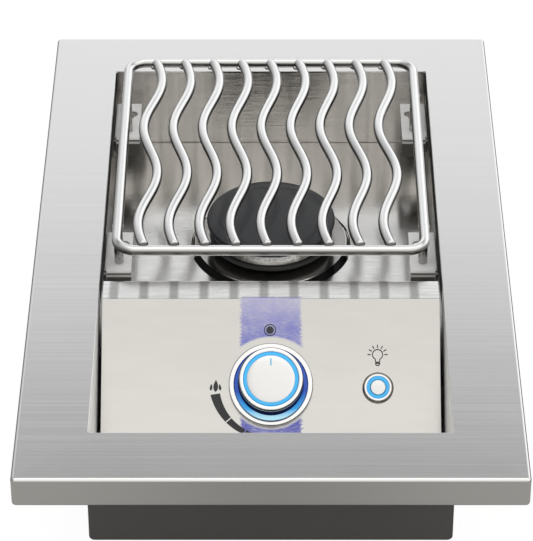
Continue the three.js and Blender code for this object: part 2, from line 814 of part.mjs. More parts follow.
function burner() {
  const group = new THREE.Group();
  const bowlBottom = bossTopZ + seam;
  const bowl = turned([
    [bowlThroat, bowlBottom - bowlSpigotLength],
    [bowlSpigotRadius, bowlBottom - bowlSpigotLength],
    [bowlSpigotRadius, bowlBottom],
    [bowlRadius, bowlBottom],
    [bowlRadius, -bowlTop],
    [bowlRadius - bowlWall, -bowlTop],
    [bowlRadius - bowlWall, bowlBottom + bowlFloor],
    [bowlThroat, bowlBottom + bowlFloor],
  ]);
  group.add(piece("burner_bowl", bowl, enamel));

  const headBottom = seam - bowlTop;
  const headTop = -capBottom - seam;
  const skirtOuter = bowlRadius - bowlWall - seam;
  const ringWall = turned([
    [headInner, headBottom - headSkirt],
    [skirtOuter, headBottom - headSkirt],
    [skirtOuter, headBottom],
    [headRadius, headBottom],
    [headRadius, headTop],
    [headInner, headTop],
  ]);
  const ports = [];
  for (let i = 0; i < portCount / 2; i++) {
    const port = block(
      -headRadius - overrun,
      headRadius + overrun,
      -portWidth / 2,
      portWidth / 2,
      headTop - portDepth,
      headTop + overrun,
    );
    ports.push(port.rotateZ((i / (portCount / 2)) * Math.PI));
  }
  group.add(piece("burner_head", cut(ringWall, ...ports), castAluminium));

  const cap = turned([
    [0, -capBottom],
    [capSkirtInner, -capBottom],
    [capSkirtInner, -capBottom - capSkirt],
    [capSkirtOuter, -capBottom - capSkirt],
    [capSkirtOuter, -capBottom],
    [capRadius - capRim / 8, -capBottom],
    [capRadius, capRim / 8 - capBottom],
    [capRadius, (capRim * 5) / 8 - capBottom],
    [capRadius - capRim / 4, (capRim * 7) / 8 - capBottom],
    [capRadius - capRim / 2, capRim - capBottom],
    [capStepRadius, capRim - capBottom + capCrown / 3],
    [0, capRim - capBottom + capCrown],
  ]);
  group.add(piece("burner_cap", cap, enamel));

  const cupTop = bossTopZ - panSheet - seam;
  const cupBottom = linerBottomZ;
  const cup = turned([
    [0, cupBottom],
    [cupRadius, cupBottom],
    [cupRadius, cupTop - cupFlange],
    [cupFlangeRadius, cupTop - cupFlange],
    [cupFlangeRadius, cupTop],
    [cupBore, cupTop],
    [cupBore, cupBottom + cupFloor],
    [0, cupBottom + cupFloor],
  ]);
  const socketOuter = venturiRadius + seam + socketWall;
  const socketEnd = -cupRadius - socketLength;
  const socket = barY(socketOuter, socketEnd, -cupBore - (cupRadius - cupBore) / 2, roundSides).translate(0, 0, venturiZ);
  const flatFloor = block(-cupRadius, cupRadius, socketEnd, 0, cupBottom - cupRadius, cupBottom);
  const bore = barY(venturiRadius + seam, socketEnd - overrun, 0, roundSides).translate(0, 0, venturiZ);
  group.add(piece("mixing_cup", cut(join(cup, socket), bore, flatFloor), castAluminium));

  const mouth = venturiMouthY - burnerY;
  const venturiLength = -cupBore - (cupRadius - cupBore) / 2 - mouth;
  const tube = turned(
    [
      [venturiBore, 0],
      [venturiRadius, 0],
      [venturiRadius, venturiLength],
      [venturiBore, venturiLength],
      [venturiThroat, venturiBell * 2],
      [venturiBore, venturiBell],
    ],
    roundSides,
  );
  const window = block(
    -venturiRadius - shutterWall - overrun,
    venturiRadius + shutterWall + overrun,
    -airWindowWidth / 2,
    airWindowWidth / 2,
    airWindowSetIn,
    airWindowSetIn + airWindowLength,
  );
  const onAxis = (geometry) => geometry.rotateX(-Math.PI / 2).translate(0, mouth, venturiZ);
  group.add(piece("venturi_tube", onAxis(cut(tube, window)), aluminium));

  const sleeve = turned(
    [
      [venturiRadius + seam, 0],
      [venturiRadius + seam + shutterWall, 0],
      [venturiRadius + seam + shutterWall, shutterLength],
      [venturiRadius + seam, shutterLength],
    ],
    roundSides,
  );
  group.add(piece("air_shutter", onAxis(cut(sleeve, window)), aluminium));
  group.position.y = burnerY;
  return group;
}

// The valve's ports, in the counter's frame.
function valvePort(side) {
  const along = new THREE.Vector3(0, -Math.sin(slopeAngle), Math.cos(slopeAngle));
  const centre = new THREE.Vector3(0, foldY, 0)
    .addScaledVector(new THREE.Vector3(0, Math.cos(slopeAngle), Math.sin(slopeAngle)), -knobDownSlope)
    .addScaledVector(along, -portLine);
  return centre.add(new THREE.Vector3(side * (bossReach + seam), 0, 0));
}

function gasLine() {
  const group = new THREE.Group();
  const orificeY = venturiMouthY - seam;
  const hexBack = -orificeTip - orificeHex;
  const orificeSolid = join(
    hexY(orificeRadius, hexBack, -orificeTip),
    barY(orificeTipRadius, -orificeTip - seam, orificeTip / 2),
    barY(orificeTipRadius, hexBack - orificeBracketSheet - 3 * seam, hexBack + seam),
  );
  const orificeHole = barY(orificeBore, hexBack - orificeTip, orificeTip);
  group.add(piece("orifice", cut(orificeSolid, orificeHole), brass, [0, orificeY, venturiZ]));

  const bracketY = orificeY + hexBack - seam;
  const upright = block(
    -orificeBracketWidth / 2,
    orificeBracketWidth / 2,
    bracketY - orificeBracketSheet,
    bracketY,
    linerBottomZ,
    -panDrop - panSheet - seam,
  );
  const foot = block(
    -orificeBracketWidth / 2,
    orificeBracketWidth / 2,
    bracketY - orificeBracketFoot,
    bracketY - orificeBracketSheet / 2,
    linerBottomZ,
    linerBottomZ + orificeBracketSheet,
  );
  const neckHole = barY(orificeTipRadius + seam, bracketY - overrun * 2, bracketY + overrun).translate(0, 0, venturiZ);
  group.add(piece("orifice_bracket", cut(join(upright, foot), neckHole), brushedSteel));

  const outlet = valvePort(-1);
  const feedEndY = bracketY - orificeBracketSheet - 3 * seam;
  const feedStraight = feedEndY - orificeBracketFoot * 2;
  const feed = bentRod(
    [
      [outlet.x, outlet.y, outlet.z],
      [outlet.x - tubeSideRun, outlet.y, outlet.z],
      [outlet.x - tubeSideRun, outlet.y + tubeSideRun * 2, venturiZ],
      [0, feedStraight, venturiZ],
      [0, feedEndY, venturiZ],
    ],
    feedRadius,
    feedRadius * 2,
    tubeSides,
    feedBore,
  );
  group.add(piece("gas_feed_tube", feed, aluminium));

  const inlet = valvePort(1);
  const fittingInnerY = backY - fittingTail;
  const supply = bentRod(
    [
      [inlet.x, inlet.y, inlet.z],
      [inlet.x + tubeSideRun, inlet.y, inlet.z],
      [inletRight, inlet.y + tubeSideRun * 2, -inletDrop],
      [inletRight, fittingInnerY - seam, -inletDrop],
    ],
    inletRadius,
    inletRadius * 2,
    tubeSides,
    inletBore,
  );
  group.add(piece("inlet_pipe", supply, aluminium));

  const hexStart = casingOutY + seam;
  const fitting = join(
    barY(fittingThreadRadius, fittingInnerY, hexStart + seam, smallSides),
    hexY(fittingHexRadius, hexStart, hexStart + fittingHex),
    barY(fittingThreadRadius, hexStart + fittingHex - seam, hexStart + fittingHex + fittingThread, smallSides),
  );
  const fittingHole = barY(fittingBore, fittingInnerY - overrun, hexStart + fittingHex + fittingThread + overrun);
  group.add(piece("inlet_fitting", cut(fitting, fittingHole), brass, [inletRight, 0, -inletDrop]));

  const nutBack = backY - seam;
  const nut = cut(
    hexY(locknutRadius, nutBack - locknutHeight, nutBack),
    barY(fittingThreadRadius + seam, nutBack - locknutHeight - overrun, nutBack + overrun),
  );
  group.add(piece("inlet_locknut", nut, brass, [inletRight, 0, -inletDrop]));
  return group;
}

// The valve's own frame: Z is the stem's axis, 0 at the panel's face and + towards the cook.
function gasValve() {
  const group = new THREE.Group();
  const earsTop = -panelSheet - seam;
  const neckTop = earsTop - earSheet;
  const flangeTop = neckTop - neckLength;
  const flangeBottom = flangeTop - bonnetFlange;
  const spigotBottom = flangeBottom - bonnetSpigot;
  const spigotRadius = cavityRadius + bonnetSpigotWall;
  const chamberTop = flangeTop - bonnetFlange / 2;
  const bonnetSolid = join(
    plate(slot(earSpan, earWidth), neckTop, earsTop, tubeSides).rotateZ(Math.PI / 2),
    bar(neckRadius, flangeTop - seam, neckTop + seam, smallSides),
    bar(bonnetRadius, flangeBottom, flangeTop, roundSides),
    bar(spigotRadius, spigotBottom, flangeBottom + seam, smallSides),
  );
  const bonnetCuts = [
    bar(stemRadius + stemGap, spigotBottom - overrun, earsTop + overrun),
    bar(springChamberRadius, spigotBottom - overrun, chamberTop),
    ...[-1, 1].map((side) =>
      bar(panelScrewRadius + screwGap, neckTop - overrun, earsTop + overrun).translate(side * panelScrewOffset, 0, 0),
    ),
  ];
  group.add(piece("valve_bonnet", cut(bonnetSolid, ...bonnetCuts), castAluminium));

  const bodyTop = flangeBottom - seam;
  const bodySolid = join(
    bar(bonnetRadius, bodyTop - bodyFlange, bodyTop, roundSides),
    bar(barrelRadius, -barrelEnd, bodyTop - bodyFlange + seam, roundSides),
    barX(inletBossRadius, 0, bossReach).translate(0, 0, -portLine),
    barX(outletBossRadius, -bossReach, 0).translate(0, 0, -portLine),
  );
  const bodyCuts = [
    bar(cavityRadius, -cavityEnd, bodyTop + overrun, roundSides),
    bar(spigotRadius + seam, spigotBottom - seam, bodyTop + overrun, smallSides),
    barX(plugPort, -bossReach - overrun, bossReach + overrun).translate(0, 0, -portLine),
  ];
  group.add(piece("valve_body", cut(bodySolid, ...bodyCuts), castAluminium));

  const plugBottom = seam - cavityEnd;
  const plugTop = plugBottom + plugLength;
  const stemEnd = -stemTail;
  const plug = cut(
    bar(cavityRadius - seam, plugBottom, plugTop, roundSides),
    bar(stemRadius + stemGap, stemEnd - knobPress - 2 * seam, plugTop + overrun),
    barX(plugPort, -cavityRadius - overrun, cavityRadius + overrun).translate(0, 0, -portLine),
  );
  group.add(piece("valve_plug", plug, brass));

  const collarTop = chamberTop - seam;
  const stem = cut(
    join(
      bar(stemRadius, stemEnd, stemReach),
      bar(stemCollarRadius, collarTop - stemCollarBand, collarTop),
    ),
    block(stemFlat, stemRadius + overrun, -stemRadius, stemRadius, knobHubLift, stemReach + overrun),
  );
  group.add(piece("valve_stem", stem, brushedSteel));

  const spring = turned(
    [
      [stemRadius + stemGap, plugTop + seam],
      [stemRadius + stemGap + springWire, plugTop + seam],
      [stemRadius + stemGap + springWire, plugTop + seam + springSolidLength],
      [stemRadius + stemGap, plugTop + seam + springSolidLength],
    ],
    smallSides,
  );
  group.add(piece("stem_spring", spring, brushedSteel));
  return group;
}

function knob() {
  const group = new THREE.Group();
  const floorTop = seam + bezelFloor;
  const bezelSolid = turned([
    [bezelCentreHole, seam],
    [bezelRadius, seam],
    [bezelRadius, bezelHeight / 3],
    [bezelRadius - bezelFloor / 3, (bezelHeight * 3) / 4],
    [bezelRadius - bezelFloor, bezelHeight],
    [wellRadius + bezelFloor / 2, bezelHeight],
    [wellRadius, bezelHeight - bezelFloor / 2],
    [wellRadius, floorTop],
    [bezelCentreHole, floorTop],
  ]);
  const screwXs = [-panelScrewOffset, panelScrewOffset];
  const screwHoles = screwXs.map((x) =>
    bar(panelScrewRadius + screwGap, seam - overrun, floorTop + overrun).translate(x, 0, 0),
  );
  group.add(piece("knob_bezel", cut(bezelSolid, ...screwHoles), chrome));

  const boardLow = floorTop + seam;
  const board = turned([
    [bezelCentreHole, boardLow],
    [wellRadius - seam, boardLow],
    [wellRadius - seam, boardLow + ledBoardSheet],
    [bezelCentreHole, boardLow + ledBoardSheet],
  ], roundSides);
  const headHoles = screwXs.map((x) =>
    bar(panelScrewHeadRadius + screwGap, boardLow - overrun, boardLow + overrun).translate(x, 0, 0),
  );
  group.add(piece("knob_led_board", cut(board, ...headHoles), boardGreen));

  const lensLow = boardLow + ledBoardSheet + seam;
  const lens = turned([
    [lightRingInner, lensLow],
    [wellRadius - seam, lensLow],
    [wellRadius - seam, lensLow + lightRingDepth / 2],
    [wellRadius - seam - lightRingDepth / 4, lensLow + (lightRingDepth * 3) / 4],
    [lightRingInner, lensLow + lightRingDepth / 2],
  ]);
  group.add(piece("bezel_light_ring", lens, blueLens));

  const screw = join(
    bar(panelScrewRadius, -panelSheet - seam - earSheet, floorTop + 2 * seam, tubeSides),
    bar(panelScrewHeadRadius, floorTop + seam, floorTop + seam + panelScrewHead, smallSides),
  );
  group.add(piece("bezel_screw_left", screw.clone(), brushedSteel, [screwXs[0], 0, 0]));
  group.add(piece("bezel_screw_right", screw.clone(), brushedSteel, [screwXs[1], 0, 0]));

  const pocketFloor = knobHeight - knobPocket;
  const boreTop = stemReach + seam;
  const bore = stemRadius + stemGap;
  const innerWall = knobWaistRadius - knobWall;
  const skirtTop = knobSkirtLift + knobSkirtBand;
  const rimLow = knobHeight - knobRimBand;
  const bodyShell = turned([
    [0, boreTop],
    [bore, boreTop],
    [bore, knobHubLift],
    [knobHubRadius, knobHubLift],
    [knobHubRadius, boreTop],
    [innerWall, boreTop],
    [innerWall, knobSkirtLift],
    [knobSkirtRadius, knobSkirtLift],
    [knobSkirtRadius, skirtTop],
    [knobWaistRadius, skirtTop + knobSkirtBand / 2],
    [knobWaistRadius, (skirtTop + rimLow) / 2],
    [knobRadius, rimLow],
    [knobRadius, knobHeight - knobRimBand / 5],
    [knobRadius - knobRimBand / 10, knobHeight - knobRimBand / 12],
    [knobRadius - knobRimBand / 5, knobHeight],
    [knobRingOuter + partGap, knobHeight],
    [knobRingOuter + partGap, pocketFloor],
    [0, pocketFloor],
  ]);
  const flatFill = block(
    stemFlat + stemGap,
    knobHubRadius - stemGap,
    -stemRadius,
    stemRadius,
    knobHubLift,
    boreTop + stemGap,
  );
  group.add(piece("knob_body", join(bodyShell, flatFill), chrome));

  const seatTop = pocketFloor + seam;
  const faceRadius = knobRingInner - partGap;
  const lightRing = turned([
    [knobRingInner, seatTop],
    [knobRingOuter, seatTop],
    [knobRingOuter, knobHeight - partGap],
    [knobRingInner, knobHeight - partGap],
  ]);
  group.add(piece("knob_light_ring", lightRing, cyanLens));
  const face = turned([
    [0, seatTop],
    [faceRadius, seatTop],
    [faceRadius, knobHeight - faceCrown],
    [faceRadius - faceCrown, knobHeight],
    [faceRadius / 2, knobHeight + faceCrown * 0.75],
    [0, knobHeight + faceCrown],
  ]);
  group.add(piece("knob_face", face, brightSteel));
  return group;
}

function lightButton() {
  const group = new THREE.Group();
  const flangeTop = seam + buttonFlange;
  const lensSeat = flangeTop - buttonLensDepth - seam;
  const cavityWall = buttonLensInner - partGap / 2;
  const housing = turned(
    [
      [0, -buttonBarrelLength],
      [buttonBarrelRadius, -buttonBarrelLength],
      [buttonBarrelRadius, seam],
      [buttonFlangeRadius, seam],
      [buttonFlangeRadius, flangeTop / 2],
      [buttonFlangeRadius - buttonFlange / 3, flangeTop],
      [buttonLensOuter + partGap, flangeTop],
      [buttonLensOuter + partGap, lensSeat],
      [cavityWall, lensSeat],
      [cavityWall, -buttonCavity],
      [0, -buttonCavity],
    ],
    roundSides,
  );
  group.add(piece("button_housing", housing, chrome));
  const lens = turned(
    [
      [buttonLensInner, lensSeat + seam],
      [buttonLensOuter, lensSeat + seam],
      [buttonLensOuter, flangeTop - partGap],
      [buttonLensInner, flangeTop - partGap],
    ],
    roundSides,
  );
  group.add(piece("button_ring_lens", lens, cyanLens));
  const capTop = flangeTop - partGap;
  const cap = turned(
    [
      [0, capTop - buttonCapLength],
      [buttonCapRadius, capTop - buttonCapLength],
      [buttonCapRadius, capTop - partGap],
      [buttonCapRadius - partGap * 2, capTop],
      [0, capTop],
    ],
    roundSides,
  );
  group.add(piece("button_cap", cap, brightSteel));
  const nutTop = -panelSheet - seam;
  const nut = cut(
    bar(nutAcross, nutTop - nutHeight, nutTop, 6),
    bar(buttonBarrelRadius + seam, nutTop - nutHeight - overrun, nutTop + overrun, roundSides),
  );
  group.add(piece("button_nut", nut, aluminium));
  return group;
}

function ignition() {
  const group = new THREE.Group();
  const ceramicY = burnerY + electrodeFromAxis;
  const collarLow = bossTopZ + seam;
  const ceramicTop = bossTopZ + ceramicAbove;
  const ceramicLow = bossTopZ - ceramicBelow;
  const ceramic = turned(
    [
      [0, ceramicLow],
      [ceramicRadius, ceramicLow],
      [ceramicRadius, collarLow],
      [ceramicCollarRadius, collarLow],
      [ceramicCollarRadius, collarLow + ceramicCollar],
      [ceramicRadius, collarLow + ceramicCollar],
      [ceramicRadius * 0.8, ceramicTop],
      [0, ceramicTop],
    ],
    smallSides,
  );
  group.add(piece("electrode_ceramic", ceramic, whiteCeramic, [0, ceramicY, 0]));

  const rodLow = ceramicTop + seam;
  const electrode = bentRod(
    [
      [0, 0, rodLow],
      [0, 0, rodLow + electrodeRise],
      [0, -electrodeReach, rodLow + electrodeRise + electrodeTipRise],
    ],
    electrodeRadius,
    electrodeRadius * 1.5,
    tubeSides,
  );
  group.add(piece("igniter_electrode", electrode, brushedSteel, [0, ceramicY, 0]));

  const moduleY = frontY + moduleFromOpening;
  const moduleLow = linerBottomZ;
  const module = block(
    -moduleLeft - moduleWidth / 2,
    -moduleLeft + moduleWidth / 2,
    moduleY,
    moduleY + moduleDepth,
    moduleLow,
    moduleLow + moduleHeight,
  );
  group.add(piece("ignition_module", module, blackPlastic));

  const leadZ = ceramicLow - seam - leadRadius * 2;
  const lead = bentRod(
    [
      [-moduleLeft, moduleY + moduleDepth + seam, leadZ],
      [-moduleLeft, ceramicY, leadZ],
      [0, ceramicY, leadZ],
      [0, ceramicY, ceramicLow - seam],
    ],
    leadRadius,
    leadRadius * 1.5,
    tubeSides,
  );
  group.add(piece("ignition_lead", lead, redSilicone));
  return group;
}

function power() {
  const group = new THREE.Group();
  const flangeLow = casingOutY + seam;
  const bodyFront = backY - jackBody;
  const jackSolid = join(
    barY(jackRadius, bodyFront, flangeLow + seam, smallSides),
    barY(jackFlangeRadius, flangeLow, flangeLow + jackFlange, roundSides),
  );
  const socketHole = barY(jackBore, flangeLow + jackFlange - jackDepth, flangeLow + jackFlange + overrun);
  group.add(piece("power_jack", cut(jackSolid, socketHole), blackPlastic, [jackRight, 0, -inletDrop]));

  const inward = new THREE.Vector3(0, Math.sin(slopeAngle), -Math.cos(slopeAngle));
  const upSlope = new THREE.Vector3(0, Math.cos(slopeAngle), Math.sin(slopeAngle));
  const buttonTail = new THREE.Vector3(buttonRight, foldY, 0)
    .addScaledVector(upSlope, -buttonDownSlope)
    .addScaledVector(inward, buttonBarrelLength + seam);
  const turnPoint = buttonTail.clone().addScaledVector(inward, buttonBarrelLength);
  const lead = bentRod(
    [
      [jackRight, bodyFront - seam, -inletDrop],
      [jackRight, ledgeBackY - ledgeDepth / 2, -inletDrop],
      [turnPoint.x, turnPoint.y + buttonBarrelLength / 2, -inletDrop],
      [turnPoint.x, turnPoint.y, turnPoint.z],
      [buttonTail.x, buttonTail.y, buttonTail.z],
    ],
    lightLeadRadius,
    lightLeadRadius * 2,
    tubeSides,
  );
  group.add(piece("light_lead", lead, blackPlastic));
  return group;
}

function assemble() {
  const burnerUnit = new THREE.Group();
  const counter = new THREE.Group();
  counter.position.z = casingDrop;
  burnerUnit.add(counter);
  counter.add(trimFrame(), outerCasing());
  counter.add(sideLiner("liner_left", -1), sideLiner("liner_right", 1), backLiner());
  counter.add(burnerPan(), controlPanel());
  const bracketPlaces = { front: ledgeBackY + frontBracketGap, rear: backY - rearBracketGap };
  for (const [end, y] of Object.entries(bracketPlaces)) {
    counter.add(grateBracket("grate_bracket_" + end + "_left", -1, y));
    counter.add(grateBracket("grate_bracket_" + end + "_right", 1, y));
  }
  counter.add(grate(), burner(), gasLine(), ignition(), power());

  const panelFace = new THREE.Group();
  panelFace.position.y = foldY;
  panelFace.rotation.x = slopeAngle;
  counter.add(panelFace);
  const knobPlace = new THREE.Group();
  knobPlace.position.y = -knobDownSlope;
  knobPlace.add(knob(), gasValve());
  const buttonPlace = new THREE.Group();
  buttonPlace.position.set(buttonRight, -buttonDownSlope, 0);
  buttonPlace.add(lightButton());
  panelFace.add(knobPlace, buttonPlace);
  return burnerUnit;
}

export default assemble();
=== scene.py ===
"""Dressed model of a built in side burner, with the studio and the camera that show it.

Every length is in metres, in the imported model's own frame: +Z up, +Y to the back, +X to the cook's right.
"""

import logging
import math
from dataclasses import dataclass, field
from enum import Enum
from typing import Any, Callable, Sequence

import bmesh
import bpy
from mathutils import Matrix, Vector
from mathutils.geometry import delaunay_2d_cdt

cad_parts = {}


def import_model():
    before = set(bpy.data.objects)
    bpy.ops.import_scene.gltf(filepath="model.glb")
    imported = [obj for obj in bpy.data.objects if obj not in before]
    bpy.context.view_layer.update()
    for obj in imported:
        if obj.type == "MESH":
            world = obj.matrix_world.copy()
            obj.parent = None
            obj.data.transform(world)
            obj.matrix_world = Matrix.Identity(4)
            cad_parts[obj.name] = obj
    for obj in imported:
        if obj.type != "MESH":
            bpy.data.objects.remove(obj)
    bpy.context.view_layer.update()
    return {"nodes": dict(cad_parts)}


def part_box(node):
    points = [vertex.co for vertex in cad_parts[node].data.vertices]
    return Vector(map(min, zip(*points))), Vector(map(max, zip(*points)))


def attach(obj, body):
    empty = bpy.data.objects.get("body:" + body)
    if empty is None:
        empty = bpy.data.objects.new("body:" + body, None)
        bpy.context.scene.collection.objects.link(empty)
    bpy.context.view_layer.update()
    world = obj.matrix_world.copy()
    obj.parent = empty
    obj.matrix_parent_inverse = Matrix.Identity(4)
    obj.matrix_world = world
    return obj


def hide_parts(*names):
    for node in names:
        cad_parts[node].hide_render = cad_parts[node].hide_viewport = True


Colour = tuple[float, float, float]
Point = Sequence[float]
Piece = bpy.types.Object
TOP = 0.097  # the trim's upper face above the casing's underside
BURNER_Y = 0.087
CASING_BACK = 0.2357
INLET_AT = (0.055, 0.0117)
JACK_AT = (0.095, 0.0117)
KNOB_DOWN = 0.0652
BUTTON_AT = (0.0783, 0.067)
CLEARANCE = 0.0003  # between a fitted piece and the sheet that it stands on
ON_AXIS = 1e-6  # a smaller radius is a point on the axis
PANEL_SLOPE = math.radians(40.2)
DOWN_PANEL = (0.0, -math.cos(PANEL_SLOPE), -math.sin(PANEL_SLOPE))
OUT_OF_PANEL = (0.0, -math.sin(PANEL_SLOPE), math.cos(PANEL_SLOPE))
LOG = logging.getLogger("side_burner")


# ---------------------------------------------------------------- node trees


class Value:
    """A node socket that takes part in Python arithmetic."""

    def __init__(self, graph: "Graph", socket: bpy.types.NodeSocket) -> None:
        """Keeps the graph that the socket belongs to, and the socket."""
        self.graph = graph
        self.socket = socket

    def _math(self, operation: str, first: Any, second: Any) -> "Value":
        """Adds one Math node and returns its result."""
        return self.graph.node("ShaderNodeMath", {"operation": operation}, {0: first, 1: second})

    def __add__(self, other: Any) -> "Value":
        """self + other."""
        return self._math("ADD", self, other)

    __radd__ = __add__

    def __sub__(self, other: Any) -> "Value":
        """self - other."""
        return self._math("SUBTRACT", self, other)

    def __rsub__(self, other: Any) -> "Value":
        """other - self."""
        return self._math("SUBTRACT", other, self)

    def __mul__(self, other: Any) -> "Value":
        """self * other."""
        return self._math("MULTIPLY", self, other)

    __rmul__ = __mul__

    def __truediv__(self, other: Any) -> "Value":
        """self / other."""
        return self._math("DIVIDE", self, other)

    def apply(self, operation: str, other: Any = 0.0) -> "Value":
        """Any other Math node's operation on self, and on other where it takes two."""
        return self._math(operation, self, other)

    def between(self, low: float, high: float, start: float = 0.0, end: float = 1.0) -> "Value":
        """Maps self from low..high to start..end smoothly, and holds it outside."""
        settings = {"interpolation_type": "SMOOTHSTEP"}
        inputs = {"Value": self, "From Min": low, "From Max": high, "To Min": start, "To Max": end}
        return self.graph.node("ShaderNodeMapRange", settings, inputs)


class Graph:
    """A node tree that is built by calls and by arithmetic on its sockets."""

    def __init__(self, tree: bpy.types.NodeTree) -> None:
        """Keeps the tree that the nodes go into."""
        self.tree = tree

    @classmethod
    def of(cls, owner: bpy.types.Material | bpy.types.World) -> "Graph":
        """The emptied tree of a material or a world."""
        owner.use_nodes = True
        owner.node_tree.nodes.clear()
        return cls(owner.node_tree)

    def node(
        self,
        kind: str,
        settings: dict[str, Any] | None = None,
        inputs: dict[str | int, Any] | None = None,
        output: str | int = 0,
    ) -> Value:
        """Adds one node.

        Args:
            kind: the node's type.
            settings: its properties, and a ramp's stops as (position, colour) pairs.
            inputs: values or sockets for its inputs, by name or number.
            output: the output that is returned.

        Returns:
            That output.
        """
        made = self.tree.nodes.new(kind)
        for key, value in (settings or {}).items():
            if key == "stops":
                for stop, (position, colour) in zip(self._stops(made, len(value)), value):
                    stop.position = position
                    stop.color = (*colour, 1.0)
            else:
                setattr(made, key, value)
        for key, value in (inputs or {}).items():
            if isinstance(value, Value):
                self.tree.links.new(value.socket, made.inputs[key])
            else:
                made.inputs[key].default_value = value
        return Value(self, made.outputs[output] if made.outputs else None)

    @staticmethod
    def _stops(ramp: bpy.types.Node, count: int) -> Any:
        """Gives a ramp as many stops as are wanted."""
        while len(ramp.color_ramp.elements) < count:
            ramp.color_ramp.elements.new(1.0)
        return ramp.color_ramp.elements

    def vector(self, operation: str, first: Any, second: Any = None) -> Value:
        """Adds one Vector Math node on two vectors, or on a vector and a scale."""
        key = "Scale" if operation == "SCALE" else 1
        inputs = {0: first} if second is None else {0: first, key: second}
        output = "Value" if operation in ("DOT_PRODUCT", "LENGTH") else "Vector"
        return self.node("ShaderNodeVectorMath", {"operation": operation}, inputs, output)

    def mix(self, share: Any, first: Any, second: Any) -> Value:
        """Mixes two colours; plain tuples are taken as linear colours."""
        made = self.node("ShaderNodeMix", {"data_type": "RGBA"}).socket.node
        for key, value in (("Factor", share), ("A", first), ("B", second)):
            socket = next(s for s in made.inputs if s.name == key and s.enabled)
            if isinstance(value, Value):
                self.tree.links.new(value.socket, socket)
            else:
                socket.default_value = value if key == "Factor" else (*value, 1.0)
        return Value(self, next(s for s in made.outputs if s.enabled))

    def split(self, vector: Value) -> tuple[Value, Value, Value]:
        """The three parts of a vector."""
        outputs = self.node("ShaderNodeSeparateXYZ", inputs={0: vector}).socket.node.outputs
        return tuple(Value(self, socket) for socket in outputs)

    def noise(self, place: Value, size: Point | float, detail: float = 2.0, seed: float = 0.0) -> Value:
        """Noise from 0 to 1 whose marks are about size long, in metres, each way."""
        sizes = [size] * 3 if isinstance(size, float) else list(size)
        scaled = self.vector("MULTIPLY", place, [1.0 / s for s in sizes])
        inputs = {"Vector": scaled, "W": seed, "Scale": 1.0, "Detail": detail, "Roughness": 0.55}
        return self.node("ShaderNodeTexNoise", {"noise_dimensions": "4D"}, inputs)


